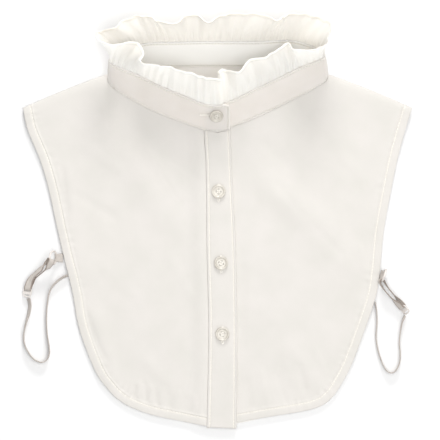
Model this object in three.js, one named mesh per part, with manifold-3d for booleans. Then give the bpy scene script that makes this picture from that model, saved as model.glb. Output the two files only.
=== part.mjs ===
// A detachable ruffled collar: a small shirt bib with a band collar, a gathered ruffle,
// a button placket and an adjustable elastic strap at each side, laid flat on its back.
// Millimetres. +X is the viewer's right, +Y runs towards the neck, +Z is up off the surface.
import * as THREE from "three";
import { mergeVertices } from "three/addons/utils/BufferGeometryUtils.js";
import Module from "manifold-3d";

const wasm = await Module();
wasm.setup();

// Driving dimensions.
const CLOTH = 1.2; // wall of the back and of each front
const GAP = 0.3; // between pieces that touch
const SEAM_SET = 1.6; // from the neck seam's line to the edge of a front or the back
const HEM_WIDTH = 8;
const HEM_RAISE = 0.5; // a turned hem stands this much above its panel
const HEM_STEP = 1.2; // width of the step at the hem's stitched line
const BACK_INSET = 0.5; // the fronts reach this far past the back
const PLACKET_WALL = 1.6;
const PLACKET_EASE = 0.15; // and more room under the placket, where two walls curve
const BAND_WALL = 1.6;
const BAND_WIDTH = 29;
const BAND_BULGE = 0.6;
const NECK_ROUND = 395; // length of the neck seam
const LAP_LENGTH = 10; // each end of the band passes the centre front by this much
const LAP_SHIFT = 1.1; // and moves off the band's line by this much
const LAP_FADE = { end: 0.075, over: 0.05 }; // turns from the centre over which that fades out
const RUFFLE_WALL = 1;
const RUFFLE_WIDTH = 27;
const RUFFLE_RISE = 0.4; // share of its width over which the ruffle still follows the band
const RUFFLE_LEAST = 6; // its free edge stands at least this far above its root
const RUFFLE_TURNS = { from: 0.004, to: 0.996 }; // it stops this near to the centre front
const GATHERS = 60;
const GATHER_DEPTH = 0.45;
const BUTTON = {
  radius: 5.9,
  thickness: 2.2,
  back: { inward: 1.4, up: 0.8 }, // the bevel round its back
  front: { inward: 0.7, down: 0.5 }, // and round its rim
  rim: 1.5, // width of the rim
  dish: 0.7, // depth of its face, and the width of the slope down to it
  hole: 0.7, // radius
  spread: 1.25, // from the middle to each hole, both ways
};
const RING_RADIUS = 5.4; // to the middle of the wire
const WIRE_RADIUS = 0.85;
const TAB_WALL = 0.95;
const TAB_WIDTH = 8.4;
const TAB_ARC = 76; // degrees of the ring that it wraps
const STRAP_WIDTH = 6;
const STRAP_WALL = 1;
const FLOOR_EASE = 0.05; // the straps' pieces stay this far off the plane of the underside
const SLIDER_LENGTH = 8.4;
const SLIDER_WIDTH = 7.8;
const SLIDER_WALL = 1.3;
const SLIDER_RIM = 1.3; // the bar at each of its ends
const SLIDER_SLOTS = { near: 1.95, far: 1.2 }; // their lengths
const SLIDER_ROUND = 2.2;
const SLOT_EASE = 0.4; // its slots are wider than the strap by this much

// The neck seam and the band's upper edge, round the neck from the centre front.
// Each upper point's height follows from the band's width.
const NECK_STATIONS = [
  { place: "centre front", x: 0.5, y: 76.4, z: 6.6, topX: 0.5, topY: 99.4 },
  { place: "left front", x: -33, y: 85.0, z: 6.3, topX: -33, topY: 108.9 },
  { place: "left front side", x: -65.5, y: 98.9, z: 5.4, topX: -65, topY: 123.4 },
  { place: "left side", x: -92.4, y: 118.3, z: 4.4, topX: -91.4, topY: 136.5 },
  { place: "left back side", x: -65.5, y: 128.9, z: 1.7, topX: -65.5, topY: 150.2 },
  { place: "left back", x: -32.5, y: 130.8, z: 1.2, topX: -32.5, topY: 152.2 },
  { place: "centre back", x: 0.5, y: 131, z: 1.2, topX: 0.5, topY: 152.6 },
  { place: "right back", x: 33.5, y: 131, z: 1.2, topX: 33.5, topY: 152.6 },
  { place: "right back side", x: 66.5, y: 131.2, z: 1.7, topX: 66.5, topY: 153 },
  { place: "right side", x: 93.2, y: 121.2, z: 4.4, topX: 90.6, topY: 141 },
  { place: "right front side", x: 66, y: 104, z: 5.4, topX: 66, topY: 129.3 },
  { place: "right front", x: 33, y: 88.2, z: 6.3, topX: 33, topY: 113.4 },
];

// The ruffle's free edge: where each fold leaves the neck (turns from the centre front)
// and where its crest or dip lies. Its height follows from the ruffle's width.
const RUFFLE_FOLDS = [
  { at: 0.0, x: -1, y: 118.6 },
  { at: 0.02, x: -8.5, y: 122.2 },
  { at: 0.042, x: -15.5, y: 123.8 },
  { at: 0.065, x: -24, y: 126.4 },
  { at: 0.087, x: -32.5, y: 127.6 },
  { at: 0.105, x: -38, y: 130.4 },
  { at: 0.13, x: -46.5, y: 131.4 },
  { at: 0.155, x: -57, y: 132.6 },
  { at: 0.175, x: -65, y: 135 },
  { at: 0.19, x: -62, y: 142 },
  { at: 0.205, x: -66.3, y: 150.6 },
  { at: 0.22, x: -77, y: 151.6 },
  { at: 0.24, x: -88.4, y: 148.9 },
  { at: 0.255, x: -98.6, y: 152.6 },
  { at: 0.27, x: -102.8, y: 157.2 },
  { at: 0.29, x: -98.6, y: 161.4 },
  { at: 0.31, x: -88, y: 163.6 },
  { at: 0.33, x: -80.8, y: 169.8 },
  { at: 0.35, x: -70, y: 173.8 },
  { at: 0.375, x: -57, y: 173.2 },
  { at: 0.395, x: -50.5, y: 169.4 },
  { at: 0.414, x: -40, y: 167.4 },
  { at: 0.428, x: -32, y: 168.6 },
  { at: 0.438, x: -28, y: 174 },
  { at: 0.455, x: -18, y: 174.6 },
  { at: 0.475, x: -8, y: 168.2 },
  { at: 0.49, x: -2, y: 171.4 },
  { at: 0.51, x: 6, y: 175.2 },
  { at: 0.54, x: 22.9, y: 176.2 },
  { at: 0.57, x: 38, y: 175.4 },
  { at: 0.59, x: 48, y: 171.2 },
  { at: 0.604, x: 53, y: 170.6 },
  { at: 0.62, x: 57, y: 174 },
  { at: 0.64, x: 65, y: 176.2 },
  { at: 0.668, x: 79, y: 175 },
  { at: 0.69, x: 90, y: 171.6 },
  { at: 0.715, x: 97, y: 167 },
  { at: 0.738, x: 95.4, y: 159 },
  { at: 0.755, x: 93, y: 151.6 },
  { at: 0.775, x: 87, y: 146.6 },
  { at: 0.8, x: 73, y: 144.6 },
  { at: 0.82, x: 63, y: 146.2 },
  { at: 0.835, x: 60, y: 151.2 },
  { at: 0.85, x: 53, y: 147.6 },
  { at: 0.868, x: 46, y: 142.6 },
  { at: 0.89, x: 38, y: 138.6 },
  { at: 0.915, x: 27, y: 137.4 },
  { at: 0.932, x: 22.4, y: 131.4 },
  { at: 0.946, x: 17, y: 126.4 },
  { at: 0.965, x: 9.4, y: 128 },
  { at: 0.985, x: 2.6, y: 128.4 },
  { at: 1.0, x: -0.4, y: 125.4 },
];

// The bib's outline: from each lower corner up the armhole to the shoulder's tip, and from
// the placket's foot along the bottom to the same corner.
const OUTLINE = {
  left: {
    corner: { x: -87.4, y: -148.9 },
    side: [
      { x: -93.6, y: -142 },
      { x: -103.6, y: -127.4 },
      { x: -117.3, y: -91.4 },
      { x: -123, y: -60.8 },
      { x: -131, y: -28 },
      { x: -135.8, y: -7.2 },
      { x: -143.2, y: 26.8 },
      { x: -150.6, y: 52 },
      { x: -161.2, y: 77.8 },
    ],
    tip: { x: -165.3, y: 96.5 },
    bottom: [
      { x: -11.5, y: -173.4 },
      { x: -53.1, y: -164.9 },
      { x: -72.4, y: -158.3 },
      { x: -80.6, y: -154 },
    ],
  },
  right: {
    corner: { x: 95.2, y: -151.7 },
    side: [
      { x: 100.6, y: -145.6 },
      { x: 109.6, y: -130.6 },
      { x: 116.6, y: -115 },
      { x: 126.2, y: -88.8 },
      { x: 134.6, y: -63.3 },
      { x: 138, y: -41.2 },
      { x: 141.3, y: -7.2 },
      { x: 147.5, y: 26.8 },
      { x: 152.6, y: 52 },
      { x: 159.4, y: 77.8 },
    ],
    tip: { x: 165.3, y: 96.5 },
    bottom: [
      { x: 19.1, y: -171.6 },
      { x: 44.6, y: -165.9 },
      { x: 74.5, y: -160.8 },
      { x: 88.6, y: -156.4 },
    ],
  },
};
const SHOULDER_NECK = { x: 95, y: 124.6 }; // where the shoulder meets the neck, each side
const SHOULDER_RISE = 1.2; // the shoulder's edge bows out by this much
const SHOULDER_PUFF = { height: 2.6, climb: 3, fade: 26, from: 70, over: 30 }; // its rolled edge
const NECK_FADE = 24; // the fronts rise to the neck seam over about this much
const FOOT = { left: -173.8, right: -175.6 }; // lowest y of each front, at its centre edge
const NECK_START = { left: 0.03, right: 0.023 }; // turns from the centre where each front begins
const NECK_END = 0.246; // and where it meets the shoulder
const BACK_NECK = { from: 0.275, to: 0.725 }; // the turns that the back spans
const STAND_CLIMB = { from: 16, over: 12 }; // the right front climbs on to the button stand

// The placket's edges, from its foot to the neck.
const PLACKET_FOOT = { left: -174.8, right: -176 };
const PLACKET_HEAD = { below: 0.4, slant: 0.24 }; // its top, under the band's lap
const PLACKET_EDGES = [
  { y: -176, left: -9.2, right: 16.2 },
  { y: -92, left: -7.6, right: 16.6 },
  { y: -20, left: -9.2, right: 15.4 },
  { y: 44, left: -9.8, right: 12.2 },
  { y: 80, left: -11.6, right: 10.8 },
];

// Soft folds of the fronts, each a ridge (or, below zero, a trough) along a line.
const FRONT_FOLDS = [
  { x0: -76, y0: 92, x1: -16, y1: 14, height: -0.9, width: 12 },
  { x0: -92, y0: 78, x1: -46, y1: 8, height: 1.3, width: 16 },
  { x0: -128, y0: 40, x1: -118, y1: -36, height: 0.9, width: 11 },
  { x0: -104, y0: -84, x1: -90, y1: -130, height: 1.2, width: 9 },
  { x0: 44, y0: 28, x1: 88, y1: 0, height: 1.1, width: 12 },
  { x0: 60, y0: 16, x1: 112, y1: -34, height: 1.4, width: 15 },
  { x0: 66, y0: 92, x1: 40, y1: 46, height: 0.9, width: 14 },
  { x0: 62, y0: -110, x1: 86, y1: -138, height: 0.8, width: 9 },
];

// Buttons on the placket, and the one on the band's lap: its turn from the centre front and
// its share of the band's width.
const PLACKET_BUTTONS = [
  { x: 0.9, y: 25.5 },
  { x: 3, y: -35.3 },
  { x: 4.2, y: -95.6 },
];
const BAND_BUTTON = { at: 0.0034, up: 0.65 };

// Each strap: the ring at the front's edge, the slider, and the elastic to the back's edge.
// turn is the elastic's roll, from 0 lying flat to 90 standing on its edge.
const STRAPS = {
  left: {
    ring: { x: -139.6, y: -30.6 },
    ringAlong: { x: 0.05, y: 1 },
    ringLean: 58, // from flat
    ringSide: -1, // the ring leans up to the left
    tabReach: 5.45,
    strapAt: 128, // degrees round the ring from ringAlong
    leaves: { x: -0.5, y: -0.85, z: -0.2 }, // the doubled strap's way from the ring
    roll: 52, // of the doubled strap's upper strand, half way; the other stands on edge
    slider: { x: -161.7, y: -60.2, z: 3.12, heading: -100, tilt: 12 },
    elastic: [
      { x: -160.7, y: -65.1, z: 0, turn: 62 },
      { x: -159.9, y: -68, z: 0, turn: 65 },
      { x: -159.5, y: -72.4, z: 0, turn: 65 },
      { x: -160.6, y: -78.8, z: 0, turn: 68 },
      { x: -163, y: -87, z: 0, turn: 80 },
      { x: -164.6, y: -96, z: 0, turn: 90 },
      { x: -164, y: -104, z: 0, turn: 90 },
      { x: -160.6, y: -111.4, z: 0, turn: 90 },
      { x: -156, y: -117, z: 0, turn: 90 },
      { x: -150, y: -119.6, z: 0, turn: 90 },
      { x: -145.4, y: -117.8, z: 0, turn: 90 },
      { x: -142.8, y: -112.2, z: 0, turn: 90 },
      { x: -143.1, y: -106, z: 0, turn: 90 },
      { x: -144.6, y: -96, z: 0, turn: 90 },
      { x: -145.3, y: -84.6, z: 0, turn: 90 },
      { x: -144.9, y: -73.2, z: 0, turn: 90 },
      { x: -143.5, y: -62.8, z: 0, turn: 88 },
      { x: -140.8, y: -56.1, z: 0, turn: 84 },
      { x: -136, y: -50.8, z: 0, turn: 78 },
      { x: -131, y: -47.4, z: 0, turn: 75 },
      { x: -127.1, y: -45.8, z: 0, turn: 74 },
    ],
  },
  right: {
    ring: { x: 141.1, y: -45.8 },
    ringAlong: { x: 0.347, y: 0.938 },
    ringLean: 84,
    ringSide: 1,
    tabReach: 2.4,
    strapAt: 172,
    leaves: { x: 0.42, y: -0.9, z: -0.1 },
    roll: 90,
    slider: { x: 159.1, y: -75, z: 4, heading: -50, tilt: 46 },
    elastic: [
      { x: 159.3, y: -79.8, z: 0, turn: 76 },
      { x: 157.5, y: -83.6, z: 0, turn: 80 },
      { x: 156.3, y: -88, z: 0, turn: 86 },
      { x: 155.2, y: -94.8, z: 0, turn: 90 },
      { x: 154.4, y: -103.6, z: 0, turn: 90 },
      { x: 155.2, y: -111, z: 0, turn: 90 },
      { x: 155, y: -118.4, z: 0, turn: 90 },
      { x: 153, y: -124.2, z: 0, turn: 90 },
      { x: 150.4, y: -127.6, z: 0, turn: 90 },
      { x: 147.4, y: -128.6, z: 0, turn: 90 },
      { x: 143.8, y: -126.8, z: 0, turn: 90 },
      { x: 140.8, y: -122, z: 0, turn: 90 },
      { x: 138.2, y: -115.4, z: 0, turn: 90 },
      { x: 135.6, y: -105.8, z: 0, turn: 90 },
      { x: 134.6, y: -97, z: 0, turn: 90 },
      { x: 135.5, y: -86, z: 0, turn: 90 },
      { x: 135.2, y: -77, z: 0, turn: 90 },
      { x: 134, y: -68.2, z: 0, turn: 90 },
    ],
  },
};

// Grid sizes.
const FRONT_COLUMNS = 14;
const FRONT_ROWS = 20;
const BACK_COLUMNS = 20;
const BACK_ROWS = 12;
const BAND_COLUMNS = 84;
const RUFFLE_COLUMNS = 4 * GATHERS;
const RUFFLE_ROWS = 4;
const SHOULDER_COLUMN = 8; // the fronts' grid column that meets the end of the neck seam
const ELASTIC_STEPS = 44;

const mix = (a, b, t) => a + (b - a) * t;
const clamp = (v, lo, hi) => Math.min(hi, Math.max(lo, v));
const smooth = (t) => {
  const c = clamp(t, 0, 1);
  return c * c * (3 - 2 * c);
};
const radians = THREE.MathUtils.degToRad;
const at3 = (x, y, z) => new THREE.Vector3(x, y, z);

// A closed body from its points and triangles, turned so that its faces point out.
function closedBody(points, triangles) {
  let volume = 0;
  for (const [a, b, c] of triangles) {
    volume += points[a].dot(points[b].clone().cross(points[c]));
  }
  const index = triangles.flatMap(([a, b, c]) => (volume < 0 ? [a, c, b] : [a, b, c]));
  const geometry = new THREE.BufferGeometry();
  geometry.setAttribute(
    "position",
    new THREE.Float32BufferAttribute(points.flatMap((p) => [p.x, p.y, p.z]), 3),
  );
  geometry.setIndex(index);
  return geometry;
}

// A wall between two faces, each a function of the grid's column and row. A round wall's
// last column is its first.
function wall(columns, rows, outer, inner, round = false) {
  const across = round ? columns : columns + 1;
  const points = [];
  for (const face of [outer, inner]) {
    for (let i = 0; i < across; i++) {
      for (let j = 0; j <= rows; j++) points.push(face(i, j));
    }
  }
  const faceSize = across * (rows + 1);
  const outside = (i, j) => (i % across) * (rows + 1) + j;
  const inside = (i, j) => faceSize + outside(i, j);
  const triangles = [];
  const quad = (a, b, c, d) => triangles.push([a, b, c], [a, c, d]);
  for (let i = 0; i < columns; i++) {
    for (let j = 0; j < rows; j++) {
      quad(outside(i, j), outside(i + 1, j), outside(i + 1, j + 1), outside(i, j + 1));
      quad(inside(i, j), inside(i, j + 1), inside(i + 1, j + 1), inside(i + 1, j));
    }
    quad(outside(i, 0), inside(i, 0), inside(i + 1, 0), outside(i + 1, 0));
    quad(outside(i, rows), outside(i + 1, rows), inside(i + 1, rows), inside(i, rows));
  }
  if (!round) {
    for (let j = 0; j < rows; j++) {
      quad(outside(0, j), outside(0, j + 1), inside(0, j + 1), inside(0, j));
      quad(outside(columns, j), inside(columns, j), inside(columns, j + 1), outside(columns, j + 1));
    }
  }
  return closedBody(points, triangles);
}

// The two faces of a wall about a middle surface given over u and v from 0 to 1.
function faces(surface, columns, rows, thickness) {
  const step = 1e-3;
  const side = (sign) => (i, j) => {
    const u = i / columns;
    const v = j / rows;
    const du = surface(u + step, v).sub(surface(u - step, v));
    const dv = surface(u, v + step).sub(surface(u, v - step));
    const normal = du.cross(dv).normalize();
    return surface(u, v).addScaledVector(normal, (sign * thickness) / 2);
  };
  return [side(1), side(-1)];
}

function solidOf(geometry) {
  const plain = geometry.clone();
  plain.deleteAttribute("normal");
  plain.deleteAttribute("uv");
  const merged = mergeVertices(plain, 1e-4);
  return new wasm.Manifold(
    new wasm.Mesh({
      numProp: 3,
      vertProperties: new Float32Array(merged.attributes.position.array),
      triVerts: new Uint32Array(merged.index.array),
    }),
  );
}

function geometryOf(solid) {
  const mesh = solid.getMesh();
  const geometry = new THREE.BufferGeometry();
  geometry.setAttribute("position", new THREE.BufferAttribute(new Float32Array(mesh.vertProperties), 3));
  geometry.setIndex(new THREE.BufferAttribute(new Uint32Array(mesh.triVerts), 1));
  return geometry;
}

// Smooth interpolation of one column of a table along another.
function alongTable(rows, key, value, s) {
  let i = 0;
  while (i < rows.length - 2 && s > rows[i + 1][key]) i++;
  const slope = (k) => {
    const a = rows[Math.max(k - 1, 0)];
    const b = rows[Math.min(k + 1, rows.length - 1)];
    return (b[value] - a[value]) / (b[key] - a[key]);
  };
  const [a, b] = [rows[i], rows[i + 1]];
  const span = b[key] - a[key];
  const t = (s - a[key]) / span;
  const rise = 3 * t * t - 2 * t * t * t;
  return (
    mix(a[value], b[value], rise) +
    slope(i) * span * (t * t * t - 2 * t * t + t) +
    slope(i + 1) * span * (t * t * t - t * t)
  );
}

// Round the neck: the seam, the band's upper edge and the ruffle's free edge.
const seamLine = new THREE.CatmullRomCurve3(
  NECK_STATIONS.map((s) => at3(s.x, s.y, s.z)), true, "catmullrom", 0.5,
);
const bandTopLine = new THREE.CatmullRomCurve3(
  NECK_STATIONS.map((s) => {
    const seen = Math.hypot(s.topX - s.x, s.topY - s.y);
    return at3(s.topX, s.topY, s.z + Math.sqrt(BAND_WIDTH ** 2 - seen ** 2));
  }),
  true, "catmullrom", 0.5,
);
const turned = (s) => s - Math.floor(s);
const seamAt = (s) => seamLine.getPoint(turned(s));
const bandTopAt = (s) => bandTopLine.getPoint(turned(s));

function ruffleEdgeAt(s) {
  const root = bandTopAt(clamp(s, 0, 1));
  const x = alongTable(RUFFLE_FOLDS, "at", "x", s);
  const y = alongTable(RUFFLE_FOLDS, "at", "y", s);
  const seen = Math.hypot(x - root.x, y - root.y);
  const rise = Math.sqrt(Math.max(RUFFLE_WIDTH ** 2 - seen ** 2, RUFFLE_LEAST ** 2));
  return at3(x, y, root.z + rise);
}

// Which way is out of the neck, level and at right angles to the seam.
function outOfNeck(s) {
  const along = seamAt(s + 2e-3).sub(seamAt(s - 2e-3)).setZ(0).normalize();
  return at3(along.y, -along.x, 0).multiplyScalar(-1);
}

// The band's middle surface; its ends lap at the centre front, one over the other.
const LAP_TURN = LAP_LENGTH / NECK_ROUND;
const lapShare = (turns) => smooth((LAP_FADE.end - turns) / LAP_FADE.over);
function bandAt(s, up) {
  const a = seamAt(s);
  const b = bandTopAt(s);
  const rise = b.clone().sub(a).normalize();
  const along = seamAt(s + 2e-3).sub(seamAt(s - 2e-3)).normalize();
  const out = rise.clone().cross(along).normalize();
  const lapped = LAP_SHIFT * (lapShare(s) - lapShare(1 - s));
  const lifted = mix(GAP, BAND_WIDTH, up);
  return a
    .addScaledVector(rise, lifted)
    .addScaledVector(out, lapped + BAND_BULGE * Math.sin(Math.PI * up));
}

// The outline's lines, as functions from 0 to 1.
const lineThrough = (rows) => {
  const curve = new THREE.SplineCurve(rows.map((r) => new THREE.Vector2(r.x, r.y)));
  return (t) => curve.getPoint(clamp(t, 0, 1));
};

function shoulderAt(sign, tip, t) {
  const x = mix(sign * SHOULDER_NECK.x, tip.x, t);
  const y = mix(SHOULDER_NECK.y, tip.y, t) + SHOULDER_RISE * Math.sin(Math.PI * t);
  return new THREE.Vector2(x, y);
}

// The neck seam's line on a panel, moved out of the neck; t runs from one turn to another.
function neckEdgeAt(from, to, t, set = SEAM_SET) {
  const s = mix(from, to, t);
  const p = seamAt(s).addScaledVector(outOfNeck(s), set);
  return new THREE.Vector2(p.x, p.y);
}

// A patch between four lines: foot and head run from centre to side, inner and outer run up.
function patchAt(lines, u, v) {
  const { foot, head, inner, outer } = lines;
  const point = new THREE.Vector2();
  point.addScaledVector(foot(u), 1 - v).addScaledVector(head(u), v);
  point.addScaledVector(inner(v), 1 - u).addScaledVector(outer(v), u);
  point.addScaledVector(foot(0), -(1 - u) * (1 - v)).addScaledVector(head(0), -(1 - u) * v);
  point.addScaledVector(foot(1), -u * (1 - v)).addScaledVector(head(1), -u * v);
  return point;
}

// Grid lines from 0 to 1 with two more at the hem: one at each side of its step.
function hemmed(i, count, hem, step) {
  if (i <= count) return (i / count) * (1 - hem - step);
  return i === count + 1 ? 1 - hem : 1;
}

// How high a front's underside stands over its plain bed on the back.
const NECK_FRONT = Array.from({ length: 61 }, (_, i) => seamAt(mix(-0.26, 0.26, i / 60)));
function bedLift(x, y) {
  let near = Infinity;
  let height = 0;
  for (const p of NECK_FRONT) {
    const d = Math.hypot(p.x - x, p.y - y);
    if (d < near) {
      near = d;
      height = p.z;
    }
  }
  const rise = height - CLOTH / 2 - CLOTH - GAP;
  const neck = rise * Math.exp(-((Math.max(near - SEAM_SET, 0) / NECK_FADE) ** 2));
  const sign = Math.sign(x);
  const tip = OUTLINE[sign < 0 ? "left" : "right"].tip;
  const slope = (tip.y - SHOULDER_NECK.y) / (Math.abs(tip.x) - SHOULDER_NECK.x);
  const edge = SHOULDER_NECK.y + slope * (Math.abs(x) - SHOULDER_NECK.x) + SHOULDER_RISE;
  const below = Math.max(edge - y, 0);
  const puff = SHOULDER_PUFF;
  const outward = smooth((Math.abs(x) - puff.from) / puff.over);
  const rolled = (1 - Math.exp(-below / puff.climb)) * Math.exp(-below / puff.fade);
  const roll = puff.height * rolled * outward;
  let folds = 0;
  for (const f of FRONT_FOLDS) {
    const along = new THREE.Vector2(f.x1 - f.x0, f.y1 - f.y0);
    const length = along.length();
    along.divideScalar(length);
    const run = (x - f.x0) * along.x + (y - f.y0) * along.y;
    const off = (x - f.x0) * along.y - (y - f.y0) * along.x;
    const past = Math.max(-run, run - length, 0);
    folds += f.height * Math.exp(-((off / f.width) ** 2) - (past / (1.2 * f.width)) ** 2);
  }
  return Math.max(neck + roll + folds, 0);
}
const bedHeight = (x, y) => CLOTH + GAP + bedLift(x, y);
const placketEdge = (side, y) => alongTable(PLACKET_EDGES, "y", side, clamp(y, -176, 80));

// A front, from its centre edge out to the hem. The right front (at the left here) climbs
// on to the other's button stand, and the placket carries its edge on.
function front(side) {
  const shape = OUTLINE[side];
  const sign = side === "left" ? -1 : 1;
  const centreEdge = (y) => placketEdge("left", y) + sign * GAP;
  const armhole = lineThrough([shape.corner, ...shape.side, shape.tip]);
  const bottom = lineThrough([...shape.bottom, shape.corner]);
  const neckLine = (t) => neckEdgeAt(NECK_START[side], -sign * NECK_END, t);
  const foot = new THREE.Vector2(centreEdge(FOOT[side]), FOOT[side]);
  const head = neckLine(0);
  const width = (v) => armhole(v).distanceTo(new THREE.Vector2(foot.x, mix(foot.y, head.y, v)));
  const length = head.y - foot.y;
  const hemTop = (HEM_WIDTH + HEM_STEP) / width(1);
  const neckShare = (SHOULDER_COLUMN / FRONT_COLUMNS) * (1 - hemTop);
  const lines = {
    foot: (u) => bottom(u).add(foot.clone().sub(bottom(0)).multiplyScalar(1 - smooth(3 * u))),
    head: (u) => {
      if (u <= neckShare) return neckLine(u / neckShare);
      return shoulderAt(sign, shape.tip, (u - neckShare) / (1 - neckShare));
    },
    inner: (v) => {
      const y = mix(foot.y, head.y, v);
      return new THREE.Vector2(mix(centreEdge(y), head.x, smooth(12 * v - 11)), y);
    },
    outer: armhole,
  };
  const place = (i, j) => {
    const down = FRONT_ROWS + 2 - j;
    const v = 1 - hemmed(down, FRONT_ROWS, HEM_WIDTH / length, HEM_STEP / length);
    const u = hemmed(i, FRONT_COLUMNS, HEM_WIDTH / width(v), HEM_STEP / width(v));
    return patchAt(lines, u, v);
  };
  const under = (i, j) => {
    const p = place(i, j);
    const inset = p.x - centreEdge(p.y) + STAND_CLIMB.from;
    const climb = sign < 0 ? smooth(inset / STAND_CLIMB.over) * (CLOTH + GAP) : 0;
    return at3(p.x, p.y, bedHeight(p.x, p.y) + climb);
  };
  const over = (i, j) => {
    const p = under(i, j);
    const covered = sign > 0 && p.x < placketEdge("right", p.y) + 1;
    const hem = !covered && (i > FRONT_COLUMNS || j < 2) ? HEM_RAISE : 0;
    return p.add(at3(0, 0, CLOTH + hem));
  };
  return wall(FRONT_COLUMNS + 2, FRONT_ROWS + 2, over, under);
}

// The back lies flat; it is one piece from side to side, open at the neck.
function back() {
  const inset = (shape) => {
    const sign = Math.sign(shape.tip.x);
    const rows = [shape.corner, ...shape.side, shape.tip];
    return lineThrough(rows.map((r) => ({ x: r.x - sign * BACK_INSET, y: r.y })));
  };
  const outer = { left: inset(OUTLINE.left), right: inset(OUTLINE.right) };
  const bottom = lineThrough([
    { x: OUTLINE.left.corner.x + BACK_INSET, y: OUTLINE.left.corner.y + BACK_INSET },
    ...[...OUTLINE.left.bottom].reverse().map((r) => ({ x: r.x, y: r.y + 2 * BACK_INSET })),
    ...OUTLINE.right.bottom.map((r) => ({ x: r.x, y: r.y + 2 * BACK_INSET })),
    { x: OUTLINE.right.corner.x - BACK_INSET, y: OUTLINE.right.corner.y + BACK_INSET },
  ]);
  const shoulderShare = 4 / BACK_COLUMNS;
  const head = (u) => {
    if (u < shoulderShare) {
      const p = shoulderAt(-1, OUTLINE.left.tip, 1 - u / shoulderShare);
      return p.add(new THREE.Vector2(BACK_INSET * (1 - u / shoulderShare), -BACK_INSET));
    }
    if (u > 1 - shoulderShare) {
      const t = (u - 1 + shoulderShare) / shoulderShare;
      const p = shoulderAt(1, OUTLINE.right.tip, t);
      return p.add(new THREE.Vector2(-BACK_INSET * t, -BACK_INSET));
    }
    const t = (u - shoulderShare) / (1 - 2 * shoulderShare);
    return neckEdgeAt(BACK_NECK.from, BACK_NECK.to, t, -SEAM_SET);
  };
  const lines = { foot: bottom, head, inner: outer.left, outer: outer.right };
  const level = (z) => (i, j) => {
    const p = patchAt(lines, i / BACK_COLUMNS, j / BACK_ROWS);
    return at3(p.x, p.y, z);
  };
  return wall(BACK_COLUMNS, BACK_ROWS, level(CLOTH), level(0));
}

function placket() {
  const [columns, rows] = [3, 30];
  const top = seamAt(0).y - SEAM_SET - LAP_SHIFT - PLACKET_HEAD.below;
  const headAt = (x) => top + PLACKET_HEAD.slant * Math.abs(x);
  const place = (i, j) => {
    const [u, v] = [i / columns, j / rows];
    const foot = mix(PLACKET_FOOT.left, PLACKET_FOOT.right, u);
    const edgeY = mix(foot, headAt(0), v);
    const x = mix(placketEdge("left", edgeY), placketEdge("right", edgeY), u);
    return new THREE.Vector2(x, mix(foot, headAt(x), v));
  };
  const under = (i, j) => {
    const p = place(i, j);
    return at3(p.x, p.y, bedHeight(p.x, p.y) + CLOTH + GAP + PLACKET_EASE);
  };
  const over = (i, j) => under(i, j).add(at3(0, 0, PLACKET_WALL));
  return wall(columns, rows, over, under);
}

function band() {
  const rows = 3;
  const surface = (u, v) => bandAt(mix(-LAP_TURN, 1 + LAP_TURN, u), v);
  return wall(BAND_COLUMNS, rows, ...faces(surface, BAND_COLUMNS, rows, BAND_WALL));
}

function ruffle() {
  const surface = (u, v) => {
    const s = mix(RUFFLE_TURNS.from, RUFFLE_TURNS.to, u);
    const root = bandTopAt(s);
    const rise = root.clone().sub(seamAt(s)).normalize();
    const edge = ruffleEdgeAt(s);
    root.addScaledVector(rise, 3 * GAP);
    const hold = root.clone().addScaledVector(rise, RUFFLE_WIDTH * RUFFLE_RISE);
    const across = new THREE.QuadraticBezierCurve3(root, hold, edge).getPoint(v);
    const along = bandTopAt(s + 2e-3).sub(bandTopAt(s - 2e-3)).normalize();
    const out = rise.cross(along).normalize();
    const gather = Math.sin(2 * Math.PI * GATHERS * u) * GATHER_DEPTH;
    return across.addScaledVector(out, gather * smooth(v * 4) * (1 - 0.5 * v));
  };
  return wall(RUFFLE_COLUMNS, RUFFLE_ROWS, ...faces(surface, RUFFLE_COLUMNS, RUFFLE_ROWS, RUFFLE_WALL));
}

// A four-hole button with a rim round a shallow dish.
function button() {
  const { radius, thickness, back: under, front: over, rim, dish } = BUTTON;
  const profile = [
    [0, 0],
    [radius - under.inward, 0],
    [radius, under.up],
    [radius, thickness - over.down],
    [radius - over.inward, thickness],
    [radius - rim, thickness],
    [radius - rim - dish, thickness - dish],
    [0, thickness - dish],
  ].map(([r, z]) => new THREE.Vector2(r, z));
  let solid = solidOf(new THREE.LatheGeometry(profile, 24).rotateX(Math.PI / 2));
  for (const [sx, sy] of [[1, 1], [1, -1], [-1, 1], [-1, -1]]) {
    const hole = new THREE.CylinderGeometry(BUTTON.hole, BUTTON.hole, 3 * thickness, 8);
    hole.rotateX(Math.PI / 2).translate(sx * BUTTON.spread, sy * BUTTON.spread, thickness / 2);
    solid = solid.subtract(solidOf(hole));
  }
  return geometryOf(solid);
}

// The placing of a piece: its origin and two of its axes.
function frameOf(origin, xAxis, yAxis) {
  const zAxis = xAxis.clone().cross(yAxis).normalize();
  return new THREE.Matrix4().makeBasis(xAxis, yAxis, zAxis).setPosition(origin);
}

// Where a strap's ring lies: its frame has X along the panel's edge and Y up across it.
const LOOP_OUTER = WIRE_RADIUS + GAP + TAB_WALL;
function ringFrame(strap) {
  const along = at3(strap.ringAlong.x, strap.ringAlong.y, 0).normalize();
  const level = at3(-along.y, along.x, 0).multiplyScalar(-strap.ringSide);
  const lean = radians(strap.ringLean);
  const up = level.multiplyScalar(Math.cos(lean)).add(at3(0, 0, Math.sin(lean)));
  const height = LOOP_OUTER + FLOOR_EASE + RING_RADIUS * Math.sin(lean);
  return frameOf(at3(strap.ring.x, strap.ring.y, height), along, up);
}

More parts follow.
